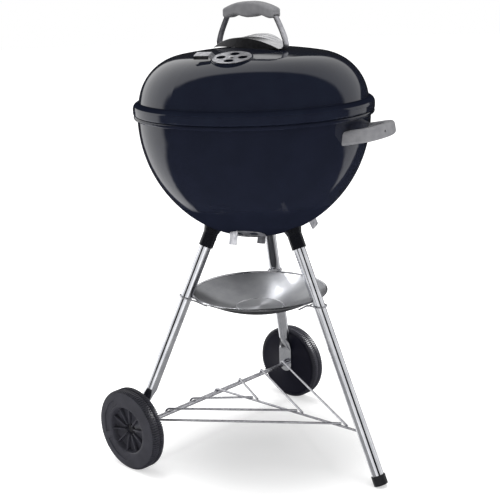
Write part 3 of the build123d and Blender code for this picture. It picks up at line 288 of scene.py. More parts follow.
# Porcelain enamel fired on steel: near-black blue glass with mirror gloss and a faint orange peel.
ENAMEL = Finish(
    name="porcelain_enamel", colour="#161924", mottle="#181b27", mottle_mm=40.0,
    roughness=(0.05, 0.08), grain_mm=7.0, depth_mm=0.006, ior=1.55,
)
# The bowl's enamel: ash dust dulls its underside, so that it doesn't mirror the legs and the pan.
BOWL_ENAMEL = replace(ENAMEL, name="dusty_porcelain_enamel", dull_mm=(425.0, 592.0))
# The lid's enamel: soot and dust dull the flare above its hem, so that no light line runs round it.
LID_ENAMEL = replace(
    ENAMEL, name="sooted_porcelain_enamel", colour="#181b27", mottle="#1a1e2a", dull_mm=(774.5, 784.5)
)
# Enamel of the leg sockets: satin, because the thin coat over their welds has lost its glaze.
SOCKET_ENAMEL = replace(
    ENAMEL, name="satin_porcelain_enamel", colour="#111217", mottle="#15161c", roughness=(0.22, 0.32),
    specular=0.3,
)
# Plated steel tube: bright, with faint draw lines along the leg.
LEG_TUBE = Finish(
    name="plated_steel_tube", colour="#cfd0d4", mottle="#bfc0c5", mottle_mm=30.0,
    roughness=(0.09, 0.18), grain_mm=1.2, depth_mm=0.004, metallic=1.0, grain=Grain.DRAWN,
)
# Spun aluminium dish: satin and greyed by ash, with the turning rings of the spinning tool.
SPUN_DISH = Finish(
    name="spun_aluminium", colour="#9c9da0", mottle="#8b8c90", mottle_mm=45.0,
    roughness=(0.30, 0.42), grain_mm=2.2, depth_mm=0.008, metallic=1.0, grain=Grain.SPUN, stretch=400.0,
    anisotropy=0.75,
)
# Burnished aluminium beads of the dish: brighter than the spun wall beside them.
BEAD_METAL = Finish(
    name="burnished_aluminium", colour="#dcdcdf", mottle="#cfcfd3", mottle_mm=20.0,
    roughness=(0.12, 0.2), grain_mm=1.5, depth_mm=0.004, metallic=1.0,
)
# Rolled aluminium sheet: pale and slightly blotchy where it was handled.
DAMPER_SHEET = Finish(
    name="rolled_aluminium_sheet", colour="#b4b4b8", mottle="#8c8d93", mottle_mm=9.0,
    roughness=(0.28, 0.48), grain_mm=1.6, depth_mm=0.015, metallic=1.0,
)
# The lid's vent plate: the same sheet, greyed by smoke.
SMOKED_SHEET = replace(DAMPER_SHEET, name="smoked_aluminium_sheet", colour="#a9a9ad", mottle="#76777d")
# Cold-rolled steel strip with zinc plating: mid grey, with fine lines along the strip.
STRAP_STEEL = Finish(
    name="plated_steel_strip", colour="#a6a6aa", mottle="#8f8f94", mottle_mm=12.0,
    roughness=(0.28, 0.40), grain_mm=0.9, depth_mm=0.01, metallic=1.0, grain=Grain.DRAWN,
)
# Bare pressed steel plate of the heat shield: paler than the strip, brushed along the handle.
SHIELD_STEEL = Finish(
    name="pressed_steel_plate", colour="#d4d4d6", mottle="#c2c2c6", mottle_mm=16.0,
    roughness=(0.14, 0.26), grain_mm=1.1, depth_mm=0.006, metallic=1.0, grain=Grain.DRAWN,
)
# Front lip and underside of the heat shield: painted shade, dark as if in shadow and mirroring the dark
# front, with a dull sheen.
SHADE_PAINTED_LIP = Finish(
    name="shade_painted_steel", colour="#3a3a3d", mottle="#2a2a2d", mottle_mm=10.0,
    roughness=(0.32, 0.46), grain_mm=1.2, depth_mm=0.01, metallic=0.6,
)
# Plated steel wire: light grey, with small variations of the plating bath.
PLATED_WIRE = Finish(
    name="plated_steel_wire", colour="#bfbfc3", mottle="#a2a2a8", mottle_mm=8.0,
    roughness=(0.18, 0.32), grain_mm=1.5, depth_mm=0.01, metallic=1.0,
)
# Zinc-plated steel fasteners: small bright heads.
FASTENER_STEEL = Finish(
    name="zinc_plated_steel", colour="#c2c2c4", mottle="#a5a5a8", mottle_mm=5.0,
    roughness=(0.2, 0.34), grain_mm=1.0, depth_mm=0.008, metallic=1.0,
)
# Glass-filled nylon: matt mid grey with a fine moulded texture, drawn coarser than life so that it shows.
GREY_NYLON = Finish(
    name="glass_filled_nylon", colour="#858588", mottle="#7a7a7e", mottle_mm=14.0,
    roughness=(0.46, 0.62), grain_mm=1.1, depth_mm=0.05, ior=1.53,
)
# Moulded polypropylene of the wheels: charcoal black, with a slightly waxy sheen.
WHEEL_PLASTIC = Finish(
    name="moulded_polypropylene", colour="#34343b", mottle="#3b3b43", mottle_mm=18.0,
    roughness=(0.30, 0.42), grain_mm=1.4, depth_mm=0.03, ior=1.49,
)
# Inner side of the wheels: the same plastic with shallower marks, darker and with less sheen.
WHEEL_BACK = replace(
    WHEEL_PLASTIC, name="smooth_polypropylene", colour="#131320", mottle="#161624",
    roughness=(0.34, 0.44), depth_mm=0.01, specular=0.3,
)
# Moulded polyethylene of the caps: soft black with a dull sheen.
CAP_PLASTIC = Finish(
    name="black_polyethylene", colour="#202024", mottle="#28282d", mottle_mm=10.0,
    roughness=(0.38, 0.52), grain_mm=1.2, depth_mm=0.03, ior=1.51,
)


def dress(material: Material, *nodes: str) -> None:
    """Gives CAD nodes their material.

    Args:
        material: Finish of each whole node.
        nodes: Names of the nodes.
    """
    for node in nodes:
        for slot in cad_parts[node].material_slots:
            slot.material = material
        LOG.info("dressed %s with %s", node, material.name)


def middle(node: str) -> Vector:
    """Middle of a CAD node's box."""
    low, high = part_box(node)
    return (low + high) / 2


def finish_piece(
    name: str, mesh: BMesh, materials: tuple[Material, ...], body: str, nodes: tuple[str, ...] = ()
) -> None:
    """Turns a bmesh into a piece that rides on a body.

    Args:
        name: Name of the piece.
        mesh: Finished shape in metres, freed here.
        materials: Finishes of the piece, in the order of its material slots.
        body: CAD body that carries it.
        nodes: CAD nodes that it stands for.
    """
    data = bpy.data.meshes.new(name)
    mesh.to_mesh(data)
    mesh.free()
    for material in materials:
        data.materials.append(material)
    piece = bpy.data.objects.new(name, data)
    bpy.context.scene.collection.objects.link(piece)
    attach(piece, body)
    if nodes:
        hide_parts(*nodes)
    LOG.info("built %s with %d faces on %s", name, len(data.polygons), body)


def sharp_edges(mesh: BMesh, limit_deg: float) -> list[BMEdge]:
    """Edges whose two faces turn by more than a limit."""
    return [edge for edge in mesh.edges if edge.calc_face_angle(0.0) > math.radians(limit_deg)]


def round_edges(mesh: BMesh, edges: list[BMEdge], radius_mm: float, segments: int = 2) -> list[BMFace]:
    """Rounds edges with a bevel.

    Args:
        mesh: Mesh that holds the edges.
        edges: Edges to round.
        radius_mm: Distance that each rounding takes off both faces.
        segments: Steps of the rounding.

    Returns:
        The new faces.
    """
    made = bmesh.ops.bevel(
        mesh, geom=edges, offset=radius_mm * MM, offset_type="OFFSET", segments=segments, profile=0.5,
        affect="EDGES", material=-1, clamp_overlap=True,
    )
    return made["faces"]


def smooth_by_angle(mesh: BMesh, limit_deg: float) -> None:
    """Shades faces smooth and keeps edges sharper than a limit crisp.

    Args:
        mesh: Mesh to shade.
        limit_deg: Turn between two faces from which their edge stays crisp.
    """
    limit = math.radians(limit_deg)
    for face in mesh.faces:
        face.smooth = True
    for edge in mesh.edges:
        edge.smooth = len(edge.link_faces) == 2 and edge.calc_face_angle(0.0) < limit


@dataclass
class MouldedWheel:
    """Moulded wheel with a cross-ribbed tread, sunk sidewall panels, a dished web and spokes.

    Sizes are in millimetres. Distances along the axle run outwards from the middle of the tread. The
    inner shoulder is given as distances from the inner face and drops below the tread.
    """

    side: str
    columns: int = 416
    columns_per_rib: int = 4
    rib_depth: float = 3.5
    rib_spread: tuple[float, float, float, float] = (-0.4, 0.4, -0.4, 0.4)
    rib_fade: float = 4.0
    shoulder: float = 4.0
    inner_shoulder: tuple[tuple[float, float], ...] = ((0.0, 11.0), (2.2, 5.0), (7.0, 0.0))
    groove: float = 3.0
    groove_depth: float = 2.6
    mouth: float = 50.0
    mouth_lip: float = 2.0
    barrel: float = 48.0
    web_face: float = 5.0
    hub: float = 14.0
    hub_face: float = -2.0
    hub_back: float = -19.0
    bore: float = 5.08
    panel_inner: float = 57.0
    panel_outer: float = 72.0
    panel_depth: float = 2.0
    panel_slope: float = 1.6
    panels_deg: tuple[tuple[float, float], ...] = ((117.0, 197.0), (208.0, 270.0))
    face_slack: float = 0.05
    spokes: int = 10
    spoke_start_deg: float = 10.0
    spoke_thick: float = 2.6
    spoke_rise: float = 9.0
    spoke_foot: float = 5.0
    spoke_round: float = 0.5
    overlap_hub: float = 0.5
    overlap_barrel: float = 1.0
    overlap_web: float = 1.0
    edge_round: float = 0.8
    sharp_deg: float = 20.0
    crease_deg: float = 40.0
    sign: float = field(init=False)
    radius: float = field(init=False)
    half: float = field(init=False)
    centre: Vector = field(init=False)

    def __post_init__(self) -> None:
        """Takes the radius, half width and place from the CAD wheel."""
        low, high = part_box(f"wheel_{self.side}")
        self.sign = SIDE_SIGN[self.side]
        self.radius = (high.z - low.z) / 2 / MM
        outer_face = high.x if self.sign > 0 else -low.x
        inner_end = low.x if self.sign > 0 else -high.x
        self.half = (outer_face - inner_end) / MM + self.hub_back
        middle_x = self.sign * (outer_face - self.half * MM)
        self.centre = Vector((middle_x, (low.y + high.y) / 2, (low.z + high.z) / 2))

    def profile(self) -> list[tuple[float, float]]:
        """Draws the wheel's section on one side of the axle.

        Returns:
            Closed outline as distances along the axle and radii.
        """
        half = self.half
        top = self.radius
        lip = self.mouth_lip
        groove = self.groove / 2
        floor = top - self.groove_depth
        return [
            (-half, self.hub), *((along - half, top - drop) for along, drop in self.inner_shoulder),
            (-groove, top), (-groove, floor), (groove, floor), (groove, top),
            (half - self.shoulder, top), (half, top - self.shoulder), (half, self.panel_outer),
            (half, self.panel_inner), (half, self.mouth + lip), (half - lip, self.mouth),
            (self.web_face, self.barrel), (self.web_face, self.hub), (self.hub_face, self.hub),
            (self.hub_face, self.bore), (self.hub_back, self.bore), (self.hub_back, self.hub),
        ]

    def spun_body(self) -> BMesh:
        """Spins the section about the axle and rounds its moulded edges.

        Returns:
            Wheel about the X axis, outer face towards +X, in metres.
        """
        mesh = bmesh.new()
        ring = [mesh.verts.new((along * MM, radius * MM, 0.0)) for along, radius in self.profile()]
        for start, end in zip(ring, ring[1:] + ring[:1]):
            mesh.edges.new((start, end))
        bmesh.ops.spin(
            mesh, geom=mesh.verts[:] + mesh.edges[:], cent=(0, 0, 0), axis=(1, 0, 0), angle=2 * math.pi,
            steps=self.columns, use_merge=True,
        )
        bmesh.ops.remove_doubles(mesh, verts=mesh.verts, dist=WELD)
        bmesh.ops.recalc_face_normals(mesh, faces=mesh.faces)
        round_edges(mesh, sharp_edges(mesh, self.sharp_deg), self.edge_round)
        return mesh

    def sink_panels(self, mesh: BMesh) -> None:
        """Sinks the curved panels into the outer sidewall.

        Args:
            mesh: Wheel about the X axis.
        """
        for start, end in self.panels_deg:
            faces: list[BMFace] = []
            for face in mesh.faces:
                place = face.calc_center_median()
                radius = math.hypot(place.y, place.z) / MM
                turn = math.degrees(math.atan2(place.z, place.y)) % 360
                on_face = place.x > (self.half - self.face_slack) * MM
                if on_face and self.panel_inner < radius < self.panel_outer and start < turn < end:
                    faces.append(face)
            bmesh.ops.inset_region(
                mesh, faces=faces, thickness=self.panel_slope * MM, depth=-self.panel_depth * MM,
                use_even_offset=True,
            )

    def cut_tread(self, mesh: BMesh) -> None:
        """Sinks gaps into the tread and draws their columns together, which leaves upright cross ribs.

        Args:
            mesh: Wheel about the X axis.
        """
        step = 2 * math.pi / self.columns
        outer_end = self.radius - self.shoulder - self.edge_round
        inner_end = self.radius - self.inner_shoulder[0][1]
        for vert in mesh.verts:
            radius = math.hypot(vert.co.y, vert.co.z)
            on_band = abs(vert.co.x) > self.groove / 2 * MM
            column = round(math.atan2(vert.co.z, vert.co.y) / step)
            height = radius / MM - (outer_end if vert.co.x > 0 else inner_end)
            if not on_band or height < self.edge_round / 2:
                continue
            place = column % self.columns_per_rib
            turn = (column + self.rib_spread[place]) * step
            fade = 1.0 if vert.co.x > 0 else min(height / self.rib_fade, 1.0)
            reach = radius - (self.rib_depth * fade * MM if place >= self.columns_per_rib / 2 else 0.0)
            vert.co.y = math.cos(turn) * reach
            vert.co.z = math.sin(turn) * reach

    def add_spokes(self, mesh: BMesh) -> None:
        """Adds the spokes that run from the hub to the barrel inside the dish.

        Args:
            mesh: Wheel about the X axis.
        """
        inner = self.hub - self.overlap_hub
        outer = self.barrel + self.overlap_barrel
        foot = self.web_face - self.overlap_web
        for index in range(self.spokes):
            made = bmesh.ops.create_cube(mesh, size=1.0)["verts"]
            for vert in made:
                far = vert.co.y > 0
                top = self.web_face + (self.spoke_rise if far else self.spoke_foot)
                vert.co.x = (top if vert.co.x > 0 else foot) * MM
                vert.co.y = (outer if far else inner) * MM
                vert.co.z *= self.spoke_thick * MM
            edges = list(dict.fromkeys(edge for vert in made for edge in vert.link_edges))
            rounded = round_edges(mesh, edges, self.spoke_round)
            verts = list(dict.fromkeys(vert for face in rounded for vert in face.verts))
            turn = math.radians(self.spoke_start_deg + 360 * index / self.spokes)
            bmesh.ops.rotate(mesh, verts=verts, cent=(0, 0, 0), matrix=Matrix.Rotation(turn, 3, "X"))

    def build(self) -> None:
        """Builds the wheel in place of its CAD node."""
        mesh = self.spun_body()
        self.sink_panels(mesh)
        self.cut_tread(mesh)
        self.add_spokes(mesh)
        smooth_side = (self.inner_shoulder[1][0] - self.half) * MM
        for face in mesh.faces:
            if face.calc_center_median().x < smooth_side:
                face.material_index = SECOND_FINISH
        if self.sign < 0:
            bmesh.ops.scale(mesh, vec=(-1.0, 1.0, 1.0), verts=mesh.verts)
        bmesh.ops.recalc_face_normals(mesh, faces=mesh.faces)
        smooth_by_angle(mesh, self.crease_deg)
        bmesh.ops.translate(mesh, vec=self.centre, verts=mesh.verts)
        node = f"wheel_{self.side}"
        finishes = (WHEEL_PLASTIC.material(), WHEEL_BACK.material())
        finish_piece(f"{node}_moulding", mesh, finishes, node, (node,))


@dataclass
class HeatShield:
    """Pressed plate that arches between the strap's feet, ribbed behind, with a lip turned down in front.

    Sizes are in millimetres. Faces whose normal dips below underside get the lip's dark finish, which is
    painted shade.
    """

    node: str = "lid_heat_shield"
    half_length: float = 90.0
    front_tip: float = 20.0
    rear_tip: float = 7.0
    front: float = 33.0
    rear: float = 39.0
    rise: float = 21.0
    rear_lift: float = 0.12
    ridge_pitch: float = 12.0
    ridge_height: float = 0.9
    lip: float = 19.0
    lip_end_share: float = 0.12
    lip_lean: float = 2.0
    fold: float = 2.5
    fold_segments: int = 3
    sheet: float = 1.2
    columns: int = 56
    rows: int = 40
    underside: float = -0.3
    crease_deg: float = 50.0

    def point(self, across: float, along: float) -> Vector:
        """Finds a point of the plate.

        Args:
            across: Share of the half width, positive towards the front.
            along: Share of the half length.

        Returns:
            Place from the middle of the plate's foot, in metres.
        """
        bulge = 1.0 - along * along
        width, tip = (self.front, self.front_tip) if across > 0 else (self.rear, self.rear_tip)
        x = across * (tip + (width - tip) * bulge)
        z = self.rise * bulge
        if x < 0:
            z -= x * self.rear_lift * bulge
            z += self.ridge_height * bulge * (math.cos(2 * math.pi * x / self.ridge_pitch) - 1) / 2
        return Vector((x, along * self.half_length, z)) * MM

    def turn_lip(self, mesh: BMesh, front_line: list[BMEdge]) -> None:
        """Turns the lip down along the front edge, deepest in the middle, and rounds the fold.

        Args:
            mesh: Plate without thickness.
            front_line: Edges along its front.
        """
        turned = bmesh.ops.extrude_edge_only(mesh, edges=front_line)["geom"]
        # The turned lip gets the dark finish: painted shade.
        for face in (item for item in turned if isinstance(item, BMFace)):
            face.material_index = SECOND_FINISH
        for vert in (item for item in turned if isinstance(item, BMVert)):
            share = vert.co.y / (self.half_length * MM)
            drop = max(1.0 - share * share, self.lip_end_share)
            vert.co += Vector((self.lip_lean, 0.0, -self.lip)) * drop * MM
        bmesh.ops.recalc_face_normals(mesh, faces=mesh.faces)
        kept_line = [edge for edge in front_line if edge.is_valid]
        round_edges(mesh, kept_line, self.fold, self.fold_segments)

    def build(self) -> None:
        """Builds the plate in place of its CAD node."""
        low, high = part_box(self.node)
        mesh = bmesh.new()
        bmesh.ops.create_grid(mesh, x_segments=self.rows, y_segments=self.columns, size=1.0)
        last_row = 1.0 - 1.0 / self.rows
        front_line = [edge for edge in mesh.edges if all(vert.co.x > last_row for vert in edge.verts)]
        for vert in mesh.verts:
            vert.co = self.point(vert.co.x, vert.co.y)
        self.turn_lip(mesh, front_line)
        bmesh.ops.recalc_face_normals(mesh, faces=mesh.faces)
        bmesh.ops.solidify(mesh, geom=mesh.faces[:], thickness=self.sheet * MM)
        mesh.normal_update()
        # Faces that look downwards get the dark finish: painted shade under the plate.
        for face in mesh.faces:
            if face.normal.z < self.underside:
                face.material_index = SECOND_FINISH
        smooth_by_angle(mesh, self.crease_deg)
        bmesh.ops.translate(mesh, vec=(0.0, (low.y + high.y) / 2, low.z + self.sheet * MM), verts=mesh.verts)
        finishes = (SHIELD_STEEL.material(middle(self.node), ALONG_HANDLE), SHADE_PAINTED_LIP.material())
        finish_piece("lid_heat_shield_pressing", mesh, finishes, "lid", (self.node,))


@dataclass
class HandleStrap:
    """Steel strip that bows up from the lid into both ends of the grip.

    Sizes are in millimetres. The bow is given as Bezier knots and handles of one half, as distance from
    the middle and height above the strap's foot.
    """

    node: str = "lid_handle_strap"
    half_width: float = 8.0
    strip: float = 2.2
    edge_round: float = 0.5
    steps: int = 14
    bow: tuple[tuple[tuple[float, float], ...], ...] = (
        ((54.0, 3.7), (64.0, 3.2), (74.0, 2.6), (84.0, 1.9)),
        ((84.0, 1.9), (92.0, 1.4), (94.0, 4.5), (94.3, 10.0)),
        ((94.3, 10.0), (92.5, 27.0), (75.5, 53.0), (66.0, 69.0)),
        ((66.0, 69.0), (62.5, 73.0), (55.0, 73.2), (46.0, 73.2)),
        ((46.0, 73.2), (30.0, 73.2), (15.0, 73.2), (0.0, 73.2)),
    )
    sharp_deg: float = 60.0
    crease_deg: float = 35.0

    def path(self) -> list[Vector]:
        """Follows the bow along the middle of half the strip.

        Returns:
            Points from the foot's inner end to the middle of the grip, in metres.
        """
        points: list[Vector] = []
        for curve in self.bow:
            knots = [Vector((0.0, along * MM, height * MM)) for along, height in curve]
            points += geometry.interpolate_bezier(*knots, self.steps)[1 if points else 0:]
        return points

    def half_strip(self) -> BMesh:
        """Draws an edge across the strip along the path.

        Returns:
            Half the strip without thickness, in metres.
        """
        points = self.path()
        mesh = bmesh.new()
        edge_of_strip = Vector((self.half_width * MM, 0.0, 0.0))
        start = [mesh.verts.new(points[0] + side * edge_of_strip) for side in (-1, 1)]
        edges = [mesh.edges.new(start)]
        for last, point in zip(points, points[1:]):
            made = bmesh.ops.extrude_edge_only(mesh, edges=edges)["geom"]
            ends = {item for item in made if isinstance(item, BMVert)}
            edges = [edge for edge in mesh.edges if set(edge.verts) <= ends]
            bmesh.ops.translate(mesh, vec=point - last, verts=list(ends))
        return mesh

    def build(self) -> None:
        """Builds the strip in place of its CAD node."""
        low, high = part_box(self.node)
        mesh = self.half_strip()
        half = mesh.verts[:] + mesh.edges[:] + mesh.faces[:]
        bmesh.ops.mirror(mesh, geom=half, axis="Y", merge_dist=WELD)
        bmesh.ops.remove_doubles(mesh, verts=mesh.verts, dist=WELD)
        bmesh.ops.recalc_face_normals(mesh, faces=mesh.faces)
        bmesh.ops.solidify(mesh, geom=mesh.faces[:], thickness=self.strip * MM)
        round_edges(mesh, sharp_edges(mesh, self.sharp_deg), self.edge_round)
        smooth_by_angle(mesh, self.crease_deg)
        bmesh.ops.translate(mesh, vec=(0.0, (low.y + high.y) / 2, low.z), verts=mesh.verts)
        finishes = (STRAP_STEEL.material(middle(self.node), ALONG_HANDLE),)
        finish_piece("lid_handle_strap_bow", mesh, finishes, "lid", (self.node,))


@dataclass
class DamperPlate:
    """Vent plate under the bowl, with its two ears drawn up short as in the photograph.

    The ears hang below ear_top, in millimetres, and keep ear_share of their length.
    """

    place: str
    ear_top: float = 498.0
    ear_share: float = 0.48
    crease_deg: float = 30.0

    def build(self) -> None:
        """Builds the plate in place of its CAD node."""
        node = f"bowl_damper_{self.place}"
        mesh = bmesh.new()
        mesh.from_mesh(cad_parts[node].data)
        bmesh.ops.remove_doubles(mesh, verts=mesh.verts, dist=CAD_WELD)
        top = self.ear_top * MM
        for vert in mesh.verts:
            if vert.co.z < top:
                vert.co.z = top - (top - vert.co.z) * self.ear_share
        smooth_by_angle(mesh, self.crease_deg)
        finishes = (DAMPER_SHEET.material(),)
        finish_piece(f"{node}_plate", mesh, finishes, node, (node,))


@dataclass
class PanBeads:
    """Polished beads on the ash pan: its rolled rim and the ring round its flat middle.

    Sizes are in millimetres.
    """

    node: str = "ash_pan"
    rim_bead: float = 2.55
    ring_radius: float = 51.5
    ring_bead: float = 1.1
    ring_height: float = 2.6
    segments: int = 160
    sides: int = 16
    crease_deg: float = 60.0

    def add_ring(self, mesh: BMesh, radius: float, bead: float, height: float) -> None:
        """Spins a round bead about the pan's axis.

        Args:
            mesh: Mesh that gets the bead.
            radius: Distance of the bead's middle from the axis.
            bead: Radius of the bead itself.
            height: Height of its middle above the pan's lowest point.
        """
        circle = bmesh.ops.create_circle(mesh, radius=bead * MM, segments=self.sides)["verts"]
        bmesh.ops.rotate(mesh, verts=circle, cent=(0, 0, 0), matrix=Matrix.Rotation(math.pi / 2, 3, "X"))
        bmesh.ops.translate(mesh, verts=circle, vec=(radius * MM, 0.0, height * MM))
        edges = list(dict.fromkeys(edge for vert in circle for edge in vert.link_edges))
        bmesh.ops.spin(
            mesh, geom=circle + edges, cent=(0, 0, 0), axis=(0, 0, 1), angle=2 * math.pi, steps=self.segments,
            use_merge=True,
        )

    def build(self) -> None:
        """Builds both beads on the pan."""
        low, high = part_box(self.node)
        rim = (high.x - low.x) / 2 / MM - self.rim_bead
        mesh = bmesh.new()
        self.add_ring(mesh, rim, self.rim_bead, (high.z - low.z) / MM - self.rim_bead)
        self.add_ring(mesh, self.ring_radius, self.ring_bead, self.ring_height)
        bmesh.ops.remove_doubles(mesh, verts=mesh.verts, dist=WELD)
        bmesh.ops.recalc_face_normals(mesh, faces=mesh.faces)
        smooth_by_angle(mesh, self.crease_deg)
        place = middle(self.node)
        bmesh.ops.translate(mesh, verts=mesh.verts, vec=(place.x, place.y, low.z))
        finish_piece("ash_pan_beads", mesh, (BEAD_METAL.material(),), "stand")


@dataclass
class KettleDress:
    """Finishes of the CAD nodes that keep their own shape."""

    leg_lean_deg: float = 23.9
    leg_azimuths_deg: tuple[float, float, float] = (90.0, 210.0, 330.0)

    def leg_axis(self, azimuth_deg: float) -> Vector:
        """Unit vector up a leg."""
        turn, lean = math.radians(azimuth_deg), math.radians(self.leg_lean_deg)
        return Vector((-math.cos(turn) * math.sin(lean), -math.sin(turn) * math.sin(lean), math.cos(lean)))

    def dress_shells(self) -> None:
        """Enamels the bowl, sockets and lid."""
        dress(BOWL_ENAMEL.material(), "bowl_shell")
        dress(SOCKET_ENAMEL.material(), *(f"leg_socket_{name}" for name in LEG_NAMES))
        dress(LID_ENAMEL.material(), "lid_shell")

    def dress_legs(self) -> None:
        """Gives each leg draw lines along its own length."""
        for name, azimuth in zip(LEG_NAMES, self.leg_azimuths_deg):
            node = f"leg_{name}"
            dress(LEG_TUBE.material(middle(node), self.leg_axis(azimuth)), node)

    def dress_sheet_metal(self) -> None:
        """Finishes the pan, the lid's vent plate and the brackets of the grates."""
        dress(SPUN_DISH.material(middle("ash_pan")), "ash_pan")
        dress(SMOKED_SHEET.material(), "lid_damper")
        strip = STRAP_STEEL.material(middle("cooking_grate_brackets"), ALONG_HANDLE)
        dress(strip, "cooking_grate_brackets", "charcoal_grate_brackets")

    def dress_wire(self) -> None:
        """Plates the rack, axle, clips and grates."""
        dress(PLATED_WIRE.material(), "rack_rod_center", "axle", *RACK_RODS, *PAN_CLIPS, *GRATES)

    def dress_fasteners(self) -> None:
        """Plates the bolts, nuts, rivets and buttons."""
        fasteners = ("lid_handle_bolts", "lid_handle_nuts", "lid_damper_rivet", "bowl_damper_rivets")
        dress(FASTENER_STEEL.material(), *fasteners, "bowl_handle_bolts", "leg_snap_buttons")

    def dress_plastics(self) -> None:
        """Finishes the handles and caps."""
        dress(GREY_NYLON.material(), *HANDLES)
        dress(CAP_PLASTIC.material(), "foot_cap", "axle_cap_left", "axle_cap_right")

    def build(self) -> None:
        """Dresses every group of nodes."""
        self.dress_shells()
        self.dress_legs()
        self.dress_sheet_metal()
        self.dress_wire()
        self.dress_fasteners()
        self.dress_plastics()


@dataclass(frozen=True)
class PhotoCamera:
    """Camera at the photograph's viewing angle, fitted to a square frame."""

    location: tuple[float, float, float] = (1.6578, 1.5011, 1.0448)
    bearing_deg: float = 222.98
    pitch_deg: float = 14.61
    yaw_deg: float = -0.46
    roll_deg: float = -1.91
    lens_mm: float = 78.09
    sensor_mm: float = 36.0

    def build(self) -> None:
        """Adds the camera and makes it the scene's."""
        bearing, pitch, yaw, roll = (
            math.radians(angle) for angle in (self.bearing_deg, self.pitch_deg, self.yaw_deg, self.roll_deg)
        )
        ahead = Vector((math.cos(bearing), math.sin(bearing), 0.0))
        level = ahead.cross(UP) * math.sin(yaw) + ahead * math.cos(yaw)
        forward = level * math.cos(pitch) - UP * math.sin(pitch)
        right = forward.cross(UP).normalized()
        top = right.cross(forward)
        image_right = right * math.cos(roll) + top * math.sin(roll)
        image_up = top * math.cos(roll) - right * math.sin(roll)
        data = bpy.data.cameras.new("photo_camera")
        data.sensor_fit = "HORIZONTAL"
        data.sensor_width = self.sensor_mm
        data.lens = self.lens_mm
        camera = bpy.data.objects.new("photo_camera", data)
        matrix = Matrix((image_right, image_up, -forward)).transposed().to_4x4()
        matrix.translation = Vector(self.location)
        camera.matrix_world = matrix
        bpy.context.scene.collection.objects.link(camera)
        bpy.context.scene.camera = camera


@dataclass(frozen=True)
class Softbox:
    """Rectangular studio light that faces the kettle, for all nodes or for its receivers alone.

    It stands at a turn from the camera's side, with lengths in metres. A light that isn't mirrored
    doesn't show in gloss, and one that goes through is shaded by its receivers alone.
    """

    name: str
    turn_deg: float
    size: tuple[float, float]
    radiance: float
    distance: float = 2.2
    height: float = 1.0
    receivers: tuple[str, ...] = ()
    mirrored: bool = True
    through: bool = False

    def build(self, target: Vector, facing_deg: float) -> None:
        """Adds the light.

        Args:
            target: Point that the light faces.
            facing_deg: Bearing of the camera's side.
        """
        width, tall = self.size
        data = bpy.data.lights.new(self.name, "AREA")
        data.shape = "RECTANGLE"
        data.size = width
        data.size_y = tall
        data.energy = self.radiance * math.pi * width * tall
        light = bpy.data.objects.new(self.name, data)
        turn = math.radians(facing_deg + self.turn_deg)
        place = Vector((math.cos(turn), math.sin(turn), 0.0)) * self.distance
        light.location = Vector((target.x, target.y, 0.0)) + place + UP * self.height
        light.rotation_euler = (light.location - target).to_track_quat("Z", "Y").to_euler()
        light.visible_camera = False
        light.visible_glossy = self.mirrored
        bpy.context.scene.collection.objects.link(light)
        if self.receivers:
            lit = bpy.data.collections.new(f"{self.name}_receivers")
            for name in self.receivers:
                lit.objects.link(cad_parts.get(name) or bpy.data.objects[name])
            light.light_linking.receiver_collection = lit
            if self.through:
                light.light_linking.blocker_collection = lit


# Nodes and pieces that the softboxes light in groups.
METAL_NODES = (
    *(f"leg_{name}" for name in LEG_NAMES), *PAN_CLIPS, *RACK_RODS, *GRATES, "rack_rod_center", "axle",
    "ash_pan_beads", *(f"bowl_damper_{place}_plate" for place in DAMPER_PLACES), "lid_damper_rivet",
    "bowl_damper_rivets", "leg_snap_buttons", "lid_handle_bolts",
)
# The rack's left rods would glare in the lights in front, so they are left out there.
FRONT_LIT_NODES = tuple(name for name in METAL_NODES if not name.startswith("rack_rod_left"))
LOW_NODES = ("leg_right", "axle", "rack_rod_center")
SHEET_NODES = ("lid_damper", "lid_damper_rivet", "lid_handle_bolts")
STRAP_NODES = ("lid_handle_strap_bow",)
PAN_NODES = ("ash_pan",)
WHEEL_PIECES = tuple(f"wheel_{side}_moulding" for side in SIDE_SIGN)

SOFTBOXES = (
    Softbox("top_softbox", 0.0, (1.8, 1.8), 1.0, distance=0.2, height=2.6, mirrored=False),
    Softbox("front_metal_softbox", -9.0, (1.95, 2.6), 1.1, receivers=FRONT_LIT_NODES),
    Softbox("right_metal_softbox", 75.0, (2.6, 2.6), 0.95, receivers=FRONT_LIT_NODES),
    Softbox("left_metal_softbox", -92.0, (2.3, 2.6), 1.0, receivers=METAL_NODES),
    Softbox("low_left_metal_softbox", -50.0, (1.1, 0.5), 0.5, height=0.15, receivers=METAL_NODES),
    Softbox("low_right_metal_softbox", 33.0, (1.9, 2.2), 0.8, height=0.8, receivers=LOW_NODES),
    Softbox("floor_metal_softbox", 0.0, (20.0, 20.0), 0.4, distance=0.01, height=-0.1, receivers=METAL_NODES),
    Softbox("back_sheet_softbox", 180.0, (2.4, 1.0), 0.9, height=1.7, receivers=SHEET_NODES),
    Softbox("strap_softbox", 99.0, (1.6, 1.8), 1.0, height=1.6, receivers=STRAP_NODES),
    Softbox("strap_front_softbox", 15.0, (2.4, 2.4), 0.4, height=1.2, receivers=STRAP_NODES),
    Softbox(
        "pan_streak", 208.0, (0.16, 0.5), 75.0, distance=1.2, height=2.3, receivers=PAN_NODES, through=True
    ),
    Softbox("pan_left_softbox", -92.0, (2.3, 2.6), 0.55, receivers=PAN_NODES),
    Softbox("pan_front_softbox", -9.0, (1.95, 2.6), 0.3, receivers=PAN_NODES),
    Softbox("wheel_softbox", 115.0, (1.0, 1.2), 22.0, distance=2.0, height=1.7, receivers=WHEEL_PIECES),
    Softbox("nylon_softbox", 60.0, (1.2, 1.2), 1.5, distance=1.5, height=2.4, receivers=HANDLES),
    Softbox("floor_softbox", 180.0, (1.6, 1.6), 10.0, distance=0.15, height=3.2, receivers=("floor",)),
)


